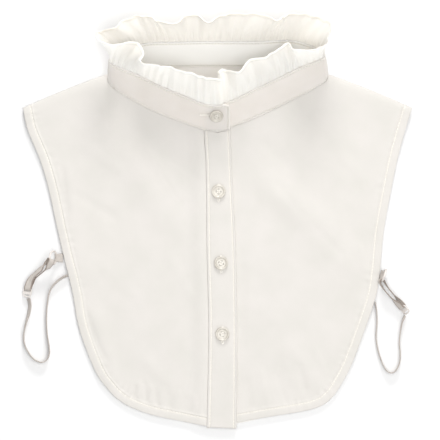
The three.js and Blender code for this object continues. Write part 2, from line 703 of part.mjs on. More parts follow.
const torus = (tube, around, sides) => new THREE.TorusGeometry(RING_RADIUS, tube, sides, around);
const ring = (strap) => torus(WIRE_RADIUS, 28, 8).applyMatrix4(ringFrame(strap));
const ringClearance = (strap) => solidOf(torus(WIRE_RADIUS + GAP, 28, 10).applyMatrix4(ringFrame(strap)));

// The tab: a tongue from under the front's edge and a loop round the ring's lowest stretch.
function tab(strap, sign) {
  const halfArc = radians(TAB_ARC / 2);
  const arc = new THREE.EllipseCurve(
    0, 0, RING_RADIUS, RING_RADIUS, -Math.PI / 2 - halfArc, -Math.PI / 2 + halfArc,
  );
  const path = new THREE.CatmullRomCurve3(arc.getPoints(8).map((p) => at3(p.x, p.y, 0)));
  const section = new THREE.Shape(
    Array.from({ length: 12 }, (_, k) => {
      const a = (k / 12) * 2 * Math.PI;
      return new THREE.Vector2(LOOP_OUTER * Math.cos(a), LOOP_OUTER * Math.sin(a));
    }),
  );
  const loop = new THREE.ExtrudeGeometry(section, { steps: 8, extrudePath: path });
  loop.applyMatrix4(ringFrame(strap));
  const along = at3(strap.ringAlong.x, strap.ringAlong.y, 0).normalize();
  const inward = at3(-along.y, along.x, 0).multiplyScalar(sign < 0 ? -1 : 1);
  const arm = at3(0, -RING_RADIUS, 0).applyMatrix4(ringFrame(strap));
  const tongue = new THREE.BoxGeometry(strap.tabReach, TAB_WIDTH, TAB_WALL);
  const level = FLOOR_EASE + TAB_WALL / 2;
  const middle = arm.clone().addScaledVector(inward, strap.tabReach / 2).setZ(level);
  tongue.applyMatrix4(frameOf(middle, inward, along));
  return geometryOf(solidOf(loop).add(solidOf(tongue)).subtract(ringClearance(strap)));
}

// The doubled strap's route, out of the ring and up to the slider's near bar, and which way
// its width lies: along the ring's wire at first, then rolled, then as the slider's bar.
const LEAVES_RING = 0.35; // share of the route over which it rolls off the ring's wire
const MEETS_SLIDER = { from: 0.55, to: 0.94 }; // and those between which it turns to the bar
function strapRoute(strap) {
  const { x, y, z, heading, tilt } = strap.slider;
  const angle = radians(strap.strapAt);
  const frame = ringFrame(strap);
  const round = at3(Math.cos(angle), Math.sin(angle), 0).multiplyScalar(RING_RADIUS);
  const from = round.applyMatrix4(frame);
  const arm = at3(-Math.sin(angle), Math.cos(angle), 0).transformDirection(frame);
  const leaves = at3(strap.leaves.x, strap.leaves.y, strap.leaves.z).normalize();
  const arrives = at3(Math.cos(radians(heading)), Math.sin(radians(heading)), 0);
  const to = at3(x, y, z).addScaledVector(arrives, (SLIDER_RIM - SLIDER_LENGTH) / 2);
  const level = at3(-arrives.y, arrives.x, 0);
  const rolled = (degrees) => {
    const across = level.clone().multiplyScalar(Math.cos(radians(degrees)));
    return across.setZ(Math.sin(radians(degrees)));
  };
  if (arm.dot(rolled(strap.roll)) < 0) arm.negate();
  const third = from.distanceTo(to) / 3;
  const curve = new THREE.CubicBezierCurve3(
    from,
    from.clone().addScaledVector(leaves, third),
    to.clone().addScaledVector(arrives, -third),
    to,
  );
  // onEdge is 0 for the upper strand and 1 for the one that stands on its edge.
  const widthAt = (t, onEdge) => {
    const turn = smooth((t - MEETS_SLIDER.from) / (MEETS_SLIDER.to - MEETS_SLIDER.from));
    const across = rolled(mix(mix(strap.roll, 90, onEdge), tilt, turn));
    const direction = curve.getTangent(t);
    const width = arm.clone().lerp(across, smooth(t / LEAVES_RING));
    return width.addScaledVector(direction, -width.dot(direction)).normalize();
  };
  return { curve, widthAt, across: rolled(tilt), arrives };
}

// A rectangle's outline with round corners, each of four points.
function roundedOutline(halfX, halfY, radius) {
  const points = [];
  for (const [corner, sx, sy] of [[0, 1, 1], [1, -1, 1], [2, -1, -1], [3, 1, -1]]) {
    for (let k = 0; k <= 3; k++) {
      const angle = ((corner + k / 3) * Math.PI) / 2;
      const x = sx * (halfX - radius) + radius * Math.cos(angle);
      const y = sy * (halfY - radius) + radius * Math.sin(angle);
      points.push(new THREE.Vector2(x, y));
    }
  }
  return points;
}

function slider(strap) {
  const { across, arrives } = strapRoute(strap);
  const halfLength = SLIDER_LENGTH / 2;
  const plate = new THREE.Shape(roundedOutline(halfLength, SLIDER_WIDTH / 2, SLIDER_ROUND));
  const body = new THREE.ExtrudeGeometry(plate, { depth: SLIDER_WALL, bevelEnabled: false });
  let solid = solidOf(body.translate(0, 0, -SLIDER_WALL / 2));
  for (const [end, length] of [[-1, SLIDER_SLOTS.near], [1, SLIDER_SLOTS.far]]) {
    const slot = new THREE.BoxGeometry(length, STRAP_WIDTH + SLOT_EASE, 2 * SLIDER_WALL);
    slot.translate(end * (halfLength - SLIDER_RIM - length / 2), 0, 0);
    solid = solid.subtract(solidOf(slot));
  }
  const centre = at3(strap.slider.x, strap.slider.y, strap.slider.z);
  return geometryOf(solid).applyMatrix4(frameOf(centre, arrives, across));
}

// The doubled strap: one band of elastic round the ring's wire and the slider's near bar. Its
// stations run out along one side, round the bar, back along the other and round the wire.
function doubledStrap(strap) {
  const { curve, widthAt } = strapRoute(strap);
  const [straight, bend] = [11, 8];
  const stations = [];
  for (const [side, end] of [[1, 1], [-1, 0]]) {
    for (let k = 0; k <= straight; k++) {
      stations.push({ t: end ? k / straight : 1 - k / straight, side, over: 0 });
    }
    for (let k = 1; k < bend; k++) {
      const round = (Math.PI * k) / bend;
      stations.push({ t: end, side: side * Math.cos(round), over: side * Math.sin(round) });
    }
  }
  const halfAtRing = WIRE_RADIUS + 2 * GAP + STRAP_WALL / 2;
  const halfAtBar = SLIDER_WALL / 2 + 1.5 * GAP + STRAP_WALL / 2;
  const face = (grow) => (i, j) => {
    const { t, side, over } = stations[i % stations.length];
    const direction = curve.getTangent(t);
    const width = widthAt(t, (1 - side) / 2);
    const lift = direction.clone().cross(widthAt(t, 0));
    const outward = direction.clone().cross(width).multiplyScalar(side);
    const half = mix(halfAtRing, halfAtBar, smooth(t));
    return curve
      .getPoint(t)
      .addScaledVector(direction, over * (half + (grow * STRAP_WALL) / 2))
      .addScaledVector(lift, side * half)
      .addScaledVector(outward, (grow * STRAP_WALL) / 2)
      .addScaledVector(width, (j - 0.5) * STRAP_WIDTH);
  };
  const body = wall(stations.length, 1, face(1), face(-1), true);
  return geometryOf(solidOf(body).subtract(ringClearance(strap)));
}

// The single elastic: a ribbon that rolls from flat to standing on its edge.
function elastic(strap) {
  const rows = strap.elastic.map((r, k) => ({ ...r, k }));
  const last = rows.length - 1;
  const middle = (k) => {
    const turn = radians(alongTable(rows, "k", "turn", k));
    const lowest = (STRAP_WIDTH / 2) * Math.sin(turn) + (STRAP_WALL / 2) * Math.cos(turn);
    const z = Math.max(alongTable(rows, "k", "z", k), 0) + lowest + FLOOR_EASE;
    return { p: at3(alongTable(rows, "k", "x", k), alongTable(rows, "k", "y", k), z), turn };
  };
  const face = (sign) => (i, j) => {
    const k = (i / ELASTIC_STEPS) * last;
    const { p, turn } = middle(k);
    const along = middle(Math.min(k + 0.01, last)).p.sub(middle(Math.max(k - 0.01, 0)).p).setZ(0).normalize();
    const level = at3(-along.y, along.x, 0);
    const width = level.clone().multiplyScalar(Math.cos(turn)).add(at3(0, 0, Math.sin(turn)));
    const thick = level.multiplyScalar(-Math.sin(turn)).add(at3(0, 0, Math.cos(turn)));
    return p.addScaledVector(width, (j - 0.5) * STRAP_WIDTH).addScaledVector(thick, (sign * STRAP_WALL) / 2);
  };
  return wall(ELASTIC_STEPS, 1, face(1), face(-1));
}

// Finishes.
const finish = (color, roughness, metalness = 0) => () =>
  new THREE.MeshStandardMaterial({ color, roughness, metalness, side: THREE.DoubleSide });
const shirting = finish(0xf2efe8, 0.85);
const bandCloth = finish(0xece8de, 0.85);
const pearl = finish(0xe9e6df, 0.25);
const webbing = finish(0xd9d0c9, 0.7);
const coatedMetal = finish(0xcfc6c0, 0.35, 0.3);

const collar = new THREE.Group();
function add(name, geometry, material) {
  const mesh = new THREE.Mesh(geometry, material());
  mesh.name = name;
  collar.add(mesh);
  return mesh;
}

add("back_panel", back(), shirting);
add("front_right", front("left"), shirting);
add("front_left", front("right"), shirting);
add("placket", placket(), shirting);
add("collar_band", band(), bandCloth);
add("ruffle", ruffle(), shirting);

// The band's button stands on the lap, square to it.
const lapFoot = bandAt(BAND_BUTTON.at, BAND_BUTTON.up);
const lapUp = bandAt(BAND_BUTTON.at, BAND_BUTTON.up + 0.05).sub(lapFoot).normalize();
const lapAlong = at3(1, 0, 0).addScaledVector(lapUp, -lapUp.x).normalize();
const lapOut = lapAlong.clone().cross(lapUp).normalize();
const bandButton = add("button_1", button(), pearl);
bandButton.applyMatrix4(
  frameOf(lapFoot.addScaledVector(lapOut, BAND_WALL / 2 + GAP), lapAlong, lapUp),
);
PLACKET_BUTTONS.forEach((spot, i) => {
  const mesh = add("button_" + (i + 2), button(), pearl);
  const placketTop = bedHeight(spot.x, spot.y) + CLOTH + GAP + PLACKET_EASE + PLACKET_WALL;
  mesh.position.set(spot.x, spot.y, placketTop + GAP);
});

for (const [side, strap] of Object.entries(STRAPS)) {
  add("strap_tab_" + side, tab(strap, side === "left" ? -1 : 1), webbing);
  add("strap_ring_" + side, ring(strap), coatedMetal);
  add("strap_slider_" + side, slider(strap), coatedMetal);
  add("strap_loop_" + side, doubledStrap(strap), webbing);
  add("strap_elastic_" + side, elastic(strap), webbing);
}

export default collar;
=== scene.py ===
"""A detachable ruffled collar, laid flat on its back.

A small shirt bib of two fronts and a back, a button placket, a band collar with a
gathered ruffle, four shirt buttons and an adjustable elastic strap at each side.
The tables are in millimetres: +X is the viewer's right, +Y runs to the neck, +Z is up.
"""

import math

import bmesh
import bpy
import numpy as np
from mathutils import Matrix, Vector, noise


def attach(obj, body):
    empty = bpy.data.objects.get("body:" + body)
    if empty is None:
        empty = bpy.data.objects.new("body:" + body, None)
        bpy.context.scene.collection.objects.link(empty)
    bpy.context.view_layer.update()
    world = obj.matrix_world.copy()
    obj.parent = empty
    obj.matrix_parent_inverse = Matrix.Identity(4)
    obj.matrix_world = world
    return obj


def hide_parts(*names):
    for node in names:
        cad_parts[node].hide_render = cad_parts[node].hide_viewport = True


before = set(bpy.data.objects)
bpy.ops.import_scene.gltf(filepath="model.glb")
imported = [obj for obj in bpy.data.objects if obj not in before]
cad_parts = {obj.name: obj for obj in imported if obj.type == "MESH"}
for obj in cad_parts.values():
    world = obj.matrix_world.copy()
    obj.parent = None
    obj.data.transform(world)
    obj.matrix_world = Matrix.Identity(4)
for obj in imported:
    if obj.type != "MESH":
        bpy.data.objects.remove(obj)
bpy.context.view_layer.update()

MM = 0.001

# ---------------------------------------------------------------- camera, lights, floor

SURFACE_WIDTH = 0.374  # of the surface that the view takes in
VIEW_CENTRE = (0.0021, 0.0013)
LENS = 600  # long, so that the standing ruffle isn't spread
SENSOR = 36
FLOOR_SIZE = 6.0
FLOOR_CLEARANCE = 0.0002


def link(thing):
    bpy.context.scene.collection.objects.link(thing)
    return thing


def mesh_of(made, name):
    """The mesh of what bmesh operators made."""
    mesh = bpy.data.meshes.new(name)
    made.to_mesh(mesh)
    made.free()
    return mesh


def add_camera():
    lens = bpy.data.cameras.new("camera")
    lens.lens = LENS
    lens.sensor_width = SENSOR
    height = SURFACE_WIDTH * LENS / SENSOR
    lens.clip_end = 3 * height
    camera = link(bpy.data.objects.new("camera", lens))
    camera.location = (*VIEW_CENTRE, height)
    bpy.context.scene.camera = camera


def add_light(name, place, target, size, power):
    lamp = bpy.data.lights.new(name, "AREA")
    lamp.shape = "DISK"
    lamp.size = size
    lamp.energy = power
    light = link(bpy.data.objects.new(name, lamp))
    light.location = place
    aim = Vector(target) - Vector(place)
    light.rotation_euler = aim.to_track_quat("-Z", "Y").to_euler()
    light.visible_camera = False


def add_studio():
    """Even light from all round, a broad softbox above, a low key from beyond the neck and a
    pale floor."""
    world = bpy.data.worlds.new("studio")
    world.use_nodes = True
    background = world.node_tree.nodes["Background"]
    background.inputs["Color"].default_value = (1.0, 1.0, 1.0, 1.0)
    background.inputs["Strength"].default_value = 0.45
    bpy.context.scene.world = world
    add_light("key", (0.1, 1.5, 0.75), (0, -0.05, 0), 0.6, 17)
    add_light("softbox", (0.25, -0.05, 2.0), (0, 0, 0), 1.7, 25)
    add_light("fill", (0.5, -1.5, 1.1), (0, 0, 0), 1.6, 9)
    view = bpy.context.scene.view_settings
    view.view_transform = "Standard"
    view.look = "None"

    ground = bmesh.new()
    bmesh.ops.create_grid(ground, x_segments=1, y_segments=1, size=FLOOR_SIZE / 2)
    floor = link(bpy.data.objects.new("floor", mesh_of(ground, "floor")))
    floor.location.z = -FLOOR_CLEARANCE
    floor.data.materials.append(pale_floor())


# ---------------------------------------------------------------- materials


def linear(code):
    """An sRGB hex colour as linear red, green, blue and alpha."""
    parts = [int(code[k : k + 2], 16) / 255 for k in (0, 2, 4)]
    return (*[p / 12.92 if p < 0.04045 else ((p + 0.055) / 1.055) ** 2.4 for p in parts], 1.0)


def new_material(name, **surface):
    """A material with its surface node, whose values are set on the node's own sockets."""
    material = bpy.data.materials.new(name)
    material.use_nodes = True
    tree = material.node_tree
    shader = tree.nodes["Principled BSDF"]
    for socket, value in surface.items():
        shader.inputs[socket.replace("_", " ")].default_value = value
    return material, tree, shader


def add_node(tree, kind, settings=None, **links):
    """A node with its settings; each link names a socket and gives a value or an output."""
    node = tree.nodes.new(kind)
    for key, value in (settings or {}).items():
        setattr(node, key, value)
    for key, value in links.items():
        socket = node.inputs[int(key[1:])] if key[1:].isdigit() else node.inputs[key.replace("_", " ")]
        if isinstance(value, bpy.types.NodeSocket):
            tree.links.new(value, socket)
        else:
            socket.default_value = value
    return node


def arithmetic(tree, operation, *values):
    """One arithmetic node of these values."""
    inputs = {f"_{k}": value for k, value in enumerate(values)}
    return add_node(tree, "ShaderNodeMath", {"operation": operation}, **inputs).outputs[0]


def waves_over_cut(tree, along_mm, across_mm):
    """Sine waves of two lengths, along and across the flat cut."""
    cut = add_node(tree, "ShaderNodeUVMap", {"uv_map": "cut"}).outputs[0]
    parts = add_node(tree, "ShaderNodeSeparateXYZ", Vector=cut).outputs[:2]
    waves = []
    for part, length_mm in zip(parts, (along_mm, across_mm)):
        turn = arithmetic(tree, "MULTIPLY", part, 2 * math.pi / (length_mm * MM))
        waves.append(arithmetic(tree, "SINE", turn))
    return waves


def attribute(tree, name):
    return add_node(tree, "ShaderNodeAttribute", {"attribute_name": name}).outputs["Fac"]


def mixed_colour(tree, share, colour, other):
    """A colour mixed by a share with another one."""
    links = {"_0": share, "_6": colour, "_7": other}
    return add_node(tree, "ShaderNodeMix", {"data_type": "RGBA"}, **links).outputs[2]


def noise_of(tree, size_mm, **settings):
    """Soft noise over the object, its patches of about one size."""
    settings["Vector"] = add_node(tree, "ShaderNodeTexCoord").outputs["Object"]
    return add_node(tree, "ShaderNodeTexNoise", Scale=1 / (size_mm * MM), **settings).outputs[0]


def dress(tree, shader, colour, height=None, strength=0.0, depth_mm=0.0):
    """Links a surface's colour, and its relief as bump."""
    tree.links.new(colour, shader.inputs["Base Color"])
    if height:
        bump = add_node(tree, "ShaderNodeBump", Strength=strength, Distance=depth_mm * MM, Height=height)
        tree.links.new(bump.outputs[0], shader.inputs["Normal"])


def mottled(tree, light, dark, size_mm, stretch=(1, 1, 1)):
    """A colour that drifts between two near ones over patches of about one size."""
    place = add_node(tree, "ShaderNodeTexCoord").outputs["Object"]
    mapped = add_node(tree, "ShaderNodeMapping", Vector=place, Scale=stretch).outputs[0]
    drift = add_node(
        tree, "ShaderNodeTexNoise", Vector=mapped, Scale=1 / (size_mm * MM), Detail=4.0,
    ).outputs[0]
    ramp = add_node(tree, "ShaderNodeValToRGB", Fac=drift)
    ramp.color_ramp.elements[0].position = 0.3
    ramp.color_ramp.elements[1].position = 0.7
    ramp.color_ramp.elements[0].color = linear(dark)
    ramp.color_ramp.elements[1].color = linear(light)
    return ramp.outputs[0]


def shirting(name, light, dark, inner_face_tone, pitch_mm, thin, bloom):
    """Plain-woven polyester shirting, calendered: an even matt cloth with a faint bloom
    at grazing angles and threads that only show close to; its colour is painted a shade
    darker along its stitch lines, as painted shade in their grooves, thin cloth lets light
    through, and its inner face takes a colour of its own, which on some pieces is painted
    light and on others painted shade.
    The threads lie about 0.3 mm apart; they are drawn coarser, to hold in a picture."""
    material, tree, shader = new_material(
        name, Roughness=0.8, IOR=1.5, Sheen_Weight=bloom, Sheen_Roughness=0.45,
        Subsurface_Weight=thin, Subsurface_Scale=0.003, Specular_IOR_Level=0.35,
    )
    shader.inputs["Subsurface Radius"].default_value = (1.0, 1.0, 1.0)
    # The two faces' colours differ by painted light and shade: the band's inner face is painted lighter,
    # the ruffle's darker, and the back's upper face lighter than its inner one.
    cloth = mixed_colour(tree, attribute(tree, "inner"), mottled(tree, light, dark, 26), linear(inner_face_tone))
    # Painted shade: the colour darkens towards dad6ce along the stitch lines.
    shade = mixed_colour(tree, attribute(tree, "press_and_painted_shade"), cloth, linear("dad6ce"))
    slubs = noise_of(tree, 1.6, Detail=2.0)
    weave = arithmetic(tree, "MULTIPLY", *waves_over_cut(tree, 2 * pitch_mm, 2 * pitch_mm))
    dress(tree, shader, shade, arithmetic(tree, "MULTIPLY_ADD", slubs, 0.8, weave), 0.35, 0.05)
    return material


def sewing_thread():
    """Spun polyester thread, drawn smooth by the needle; its colour is painted brighter than the cloth's,
    a painted highlight along the stitch lines.
    """
    material, tree, shader = new_material("spun_polyester_thread", Roughness=0.6, Sheen_Weight=0.2)
    # Painted highlight: the thread is coloured brighter than the cloth.
    dress(tree, shader, mottled(tree, "f9f6f0", "f2eee6", 3))
    return material


def pearl_button():
    """Polyester cast with pearl flake and tumbled: clouded, glossy, faintly see-through."""
    material, tree, shader = new_material(
        "cast_pearl_polyester", Roughness=0.34, IOR=1.5, Coat_Weight=0.25, Coat_Roughness=0.15,
    )
    dress(tree, shader, mottled(tree, "d5d0c6", "bcb6ab", 3.2, stretch=(1, 0.45, 1)))
    return material


def knitted_elastic():
    """Warp-knitted elastic braid: lengthwise ribs about 0.6 mm apart, matt and springy; its
    colour is painted brown at its selvages, as painted shade along its edges."""
    material, tree, shader = new_material(
        "knitted_elastic_braid", Roughness=0.72, Sheen_Weight=0.15, Specular_IOR_Level=0.3,
    )
    braid = mottled(tree, "c9c2bb", "beb7b0", 5)
    # Painted shade: the selvages are coloured brown, 93857b.
    shade = mixed_colour(tree, attribute(tree, "press_and_painted_shade"), braid, linear("93857b"))
    courses, ribs = waves_over_cut(tree, 0.9, 0.6)
    dress(tree, shader, shade, arithmetic(tree, "MULTIPLY_ADD", courses, 0.4, ribs), 0.6, 0.08)
    return material


def nylon_coated_wire():
    """Steel dipped in nylon powder and fused: a soft satin skin with a fine orange peel."""
    material, tree, shader = new_material(
        "nylon_coated_steel", Roughness=0.36, IOR=1.53, Coat_Weight=0.25, Coat_Roughness=0.2,
    )
    dress(tree, shader, mottled(tree, "e2ddd8", "d3ccc6", 4), noise_of(tree, 0.7), 0.2, 0.04)
    return material


def pale_floor():
    """Matt white sweep."""
    material, _, _ = new_material(
        "matt_white_sweep", Base_Color=linear("ebebeb"), Roughness=0.9, Specular_IOR_Level=0.1,
    )
    return material


# ---------------------------------------------------------------- the collar's sizes

CLOTH = 1.2  # a panel with its seam allowances, from its bed to its top
PANEL_WALL = 0.75  # a panel's own cloth, as drawn, and that of its doubled hem
HEM_WALL = 1.5
GAP = 0.3
SEAM_SET = 1.6
HEM_WIDTH = 8
HEM_RAISE = 0.6
HEM_STITCH = 6.5
HEM_PRESS = 0.42  # how deep its stitches pull the cloth in
PLACKET_PRESS = 0.45
BAND_PRESS = 0.3
BACK_INSET = 0.5
PLACKET_WALL = 1.6
PLACKET_EASE = 0.15
BAND_WALL = 1.6
BAND_WIDTH = 29
BAND_BULGE = 0.6
NECK_ROUND = 395
LAP_TURN = 10 / NECK_ROUND
LAP_SHIFT = 1.1
RUFFLE_WIDTH = 27
RUFFLE_LENGTH = 480  # of its flat strip, as much of it as the gathers here take up
RUFFLE_RISE = 0.4
GATHERS = 60
GATHER_DEPTH = 0.45
BUTTON_THICKNESS = 2.2
RING_RADIUS = 5.4
WIRE_RADIUS = 0.85  # of the ring's wire
TAB_WALL = 0.95
STRAP_WIDTH = 6
STRAP_WALL = 1
SLIDER_LENGTH = 8.4
SLIDER_WIDTH = 7.8
SLIDER_WALL = 1.3
SLIDER_RIM = 1.3  # the bar at each of its ends
SLIDER_RAIL = 0.75
SLIDER_SLOTS = (1.95, 1.2)
SLIDER_SQUARE = 3.2  # how square its frame is: 2 is an ellipse

# Round the neck from the centre front: the seam's x, y and z, the band's upper edge's x and y.
NECK_STATIONS = np.array([
    (0.5, 76.4, 6.6, 0.5, 99.4),
    (-33, 85.0, 6.3, -33, 108.9),
    (-65.5, 98.9, 5.4, -65, 123.4),
    (-92.4, 118.3, 4.4, -91.4, 136.5),
    (-65.5, 128.9, 1.7, -65.5, 150.2),
    (-32.5, 130.8, 1.2, -32.5, 152.2),
    (0.5, 131, 1.2, 0.5, 152.6),
    (33.5, 131, 1.2, 33.5, 152.6),
    (66.5, 131.2, 1.7, 66.5, 153),
    (93.2, 121.2, 4.4, 90.6, 141),
    (66, 104, 5.4, 66, 129.3),
    (33, 88.2, 6.3, 33, 113.4),
])

# The ruffle's free edge: the turn round the neck where each fold leaves, and its x and y.
RUFFLE_FOLDS = np.array([
    (-0.01, 3, 121),
    (0.02, -8.5, 122.2),
    (0.042, -15.5, 123.8),
    (0.065, -24, 126.4),
    (0.087, -32.5, 127.6),
    (0.105, -38, 130.4),
    (0.13, -46.5, 131.4),
    (0.155, -57, 132.6),
    (0.175, -65, 135),
    (0.19, -62, 142),
    (0.205, -66.3, 150.6),
    (0.22, -77, 151.6),
    (0.24, -88.4, 148.9),
    (0.255, -98.6, 152.6),
    (0.27, -102.8, 157.2),
    (0.29, -98.6, 161.4),
    (0.31, -88, 163.6),
    (0.33, -80.8, 169.8),
    (0.35, -70, 173.8),
    (0.375, -57, 173.2),
    (0.395, -50.5, 169.4),
    (0.414, -40, 167.4),
    (0.428, -32, 168.6),
    (0.438, -28, 174),
    (0.455, -18, 174.6),
    (0.475, -8, 168.2),
    (0.49, -2, 171.4),
    (0.51, 6, 175.2),
    (0.54, 22.9, 176.2),
    (0.57, 38, 175.4),
    (0.59, 48, 171.2),
    (0.604, 53, 170.6),
    (0.62, 57, 174),
    (0.64, 65, 176.2),
    (0.668, 79, 175),
    (0.69, 90, 171.6),
    (0.715, 97, 167),
    (0.738, 95.4, 159),
    (0.755, 93, 151.6),
    (0.775, 87, 146.6),
    (0.8, 73, 144.6),
    (0.82, 63, 146.2),
    (0.835, 60, 151.2),
    (0.85, 53, 147.6),
    (0.868, 46, 142.6),
    (0.89, 38, 138.6),
    (0.915, 27, 137.4),
    (0.932, 22.4, 131.4),
    (0.946, 17, 126.4),
    (0.965, 9.4, 128),
    (0.985, 2.6, 128.4),
    (1.0, -0.4, 125.4),
])

# Each front's outline: x and y of its lower corner, up the armhole to the shoulder's tip,
# and along the bottom from the placket to the corner.
FRONTS = {
    "front_right": {
        "sign": -1,
        "corner": (-87.4, -148.9),
        "armhole": [
            (-93.6, -142), (-103.6, -127.4), (-117.3, -91.4), (-123, -60.8), (-131, -28),
            (-135.8, -7.2), (-143.2, 26.8), (-150.6, 52), (-161.2, 77.8),
        ],
        "tip": (-165.3, 96.5),
        "bottom": [(-11.5, -173.4), (-53.1, -164.9), (-72.4, -158.3), (-80.6, -154)],
        "foot": -173.8,
        "neck_start": 0.03,
    },
    "front_left": {
        "sign": 1,
        "corner": (95.2, -151.7),
        "armhole": [
            (100.6, -145.6), (109.6, -130.6), (116.6, -115), (126.2, -88.8), (134.6, -63.3),
            (138, -41.2), (141.3, -7.2), (147.5, 26.8), (152.6, 52), (159.4, 77.8),
        ],
        "tip": (165.3, 96.5),
        "bottom": [(19.1, -171.6), (44.6, -165.9), (74.5, -160.8), (88.6, -156.4)],
        "foot": -175.6,
        "neck_start": 0.023,
    },
}
SHOULDER_NECK = (93, 125.4)
SHOULDER_RISE = 1.2
NECK_LET_IN = 0.15
NECK_FADE = 24
NECK_END = 0.246
SHOULDER_SHARE = 8 / 14  # of a front's upper edge, up to the end of the neck

# The placket's left and right edges at each y.
PLACKET_EDGES = np.array([
    (-176, -9.2, 16.2),
    (-92, -7.6, 16.6),
    (-20, -9.2, 15.4),
    (44, -9.8, 12.2),
    (80, -11.6, 10.8),
])
PLACKET_FOOT = (-174.8, -176)

# Soft folds of the fronts: a line from x, y to x, y, its height (below zero, a trough) and
# half width.
FRONT_FOLDS = [
    (-76, 92, -16, 14, -0.9, 12),
    (-92, 78, -46, 8, 1.3, 16),
    (-128, 40, -118, -36, 0.9, 11),
    (-104, -84, -90, -130, 1.2, 9),
    (44, 28, 88, 0, 1.1, 12),
    (60, 16, 112, -34, 1.4, 15),
    (66, 92, 40, 46, 0.9, 14),
    (62, -110, 86, -138, 0.8, 9),
]

# And their smaller creases, in the same columns.
FRONT_CREASES = [
    (-112, -78, -104, -98, -0.56, 3.4),
    (-103, -102, -95, -116, -0.5, 3.0),
    (-70, -141, -72, -149, -0.53, 1.7),
    (-66, -138, -67.5, -148, 0.35, 1.8),
    (-61.5, -139, -61, -152, -0.5, 2.0),
    (-56, -142, -57, -152, 0.47, 1.9),
    (-52.5, -144, -52, -154, -0.34, 1.6),
    (-47, -143, -48, -155, 0.38, 1.9),
    (-41, -147, -41.5, -157, -0.36, 1.8),
    (-34, -146, -35, -157, 0.38, 2.2),
    (-27.5, -151, -27, -160, -0.34, 1.8),
    (-20, -149, -19, -160, 0.33, 2.4),
    (-60, -120, -44, -134, 0.5, 5.5),
    (-118, 22, -88, 4, -0.44, 4.5),
    (-108, 62, -84, 44, 0.38, 5.0),
    (-132, 44, -128, 10, -0.47, 3.2),
    (-60, 62, -34, 22, 0.38, 5.0),
    (-94, -40, -70, -62, 0.3, 6.0),
    (-40, -30, -24, -62, 0.28, 5.0),
    (24, -136, 27, -156, -0.62, 2.8),
    (36, -128, 42, -150, 0.53, 3.6),
    (52, -132, 56, -150, -0.38, 2.6),
    (70, -124, 74, -142, -0.58, 3.0),
    (58, -122, 64, -136, 0.45, 4.4),
    (84, -112, 92, -128, 0.38, 4.0),
    (22, -40, 20, -106, -0.5, 3.6),
    (52, 30, 72, 6, -0.38, 4.0),
    (84, -6, 104, -26, -0.38, 4.2),
    (40, 66, 60, 48, -0.33, 5.0),
    (108, 54, 128, 30, 0.33, 5.0),
    (120, -20, 128, -48, 0.38, 4.2),
    (30, -70, 58, -92, 0.28, 6.0),
]

# Buttons on the placket, and the one on the band's lap (its x, and its share of the width).
PLACKET_BUTTONS = [(0.9, 25.5), (3, -35.3), (4.2, -95.6)]
BAND_BUTTON = (-0.85, 0.65)

# ---------------------------------------------------------------- lines and surfaces


def mix(a, b, share):
    return a + (b - a) * share


def smooth(t):
    t = np.clip(t, 0, 1)
    return t * t * (3 - 2 * t)


def bell(t):
    return np.exp(-t * t)


UP = np.array([0, 0, 1.0])


def unit(vectors):
    return vectors / np.linalg.norm(vectors, axis=-1, keepdims=True)


def through(points, t, closed=False):
    """A smooth line through points, at t from 0 to 1."""
    points = np.asarray(points, float)
    count = len(points)
    if closed:
        place = (np.asarray(t, float) % 1.0) * count
        first = np.floor(place).astype(int)
        a, b, c, d = (points[(first + k) % count] for k in (-1, 0, 1, 2))
    else:
        place = np.clip(t, 0, 1) * (count - 1)
        first = np.minimum(np.floor(place).astype(int), count - 2)
        a, b, c, d = (points[np.clip(first + k, 0, count - 1)] for k in (-1, 0, 1, 2))
    w = (place - first)[..., None]
    start, end = (c - a) / 2, (d - b) / 2
    return (
        (2 * b - 2 * c + start + end) * w**3
        + (3 * c - 3 * b - 2 * start - end) * w**2
        + start * w
        + b
    )


def along_table(table, column, s):
    """One column of a table, smoothly along its first."""
    keys, values = table[:, 0], table[:, column]
    last = len(keys) - 1
    i = np.clip(np.searchsorted(keys, s, side="left") - 1, 0, last - 1)

    def slope(k):
        a, b = np.maximum(k - 1, 0), np.minimum(k + 1, last)
        return (values[b] - values[a]) / (keys[b] - keys[a])

    span = keys[i + 1] - keys[i]
    t = (s - keys[i]) / span
    return (
        mix(values[i], values[i + 1], 3 * t**2 - 2 * t**3)
        + slope(i) * span * (t**3 - 2 * t**2 + t)
        + slope(i + 1) * span * (t**3 - t**2)
    )


def seam_at(s):
    return through(NECK_STATIONS[:, :3], s, closed=True)


BAND_TOP = np.column_stack([
    NECK_STATIONS[:, 3:],
    NECK_STATIONS[:, 2]
    + np.sqrt(BAND_WIDTH**2 - ((NECK_STATIONS[:, 3:] - NECK_STATIONS[:, :2]) ** 2).sum(axis=1)),
])


def band_top_at(s):
    return through(BAND_TOP, s, closed=True)


def out_of_neck(s):
    """Level, square to the seam and away from the neck."""
    along = seam_at(s + 2e-3) - seam_at(s - 2e-3)
    level = np.stack([-along[..., 1], along[..., 0]], axis=-1)
    return unit(level)


def lap_at(s):
    """How far the band's lapped ends are set out, and its covered end set in."""
    return LAP_SHIFT * (smooth((0.075 - s) / 0.05) - smooth((s - 0.925) / 0.05))


def neck_line(start, end, t, set_out):
    s = mix(start, end, t)
    return seam_at(s)[..., :2] + set_out * out_of_neck(s)


def band_at(s, up):
    """The band's middle surface, round the neck and up from the seam."""
    a, b = seam_at(s), band_top_at(s)
    rise = unit(b - a)
    along = unit(seam_at(s + 2e-3) - seam_at(s - 2e-3))
    out = unit(np.cross(rise, along))
    bulge = BAND_BULGE * np.sin(np.pi * np.clip(up, 0, 1))
    return a + rise * mix(GAP, BAND_WIDTH, up)[:, None] + out * (lap_at(s) + bulge)[:, None]


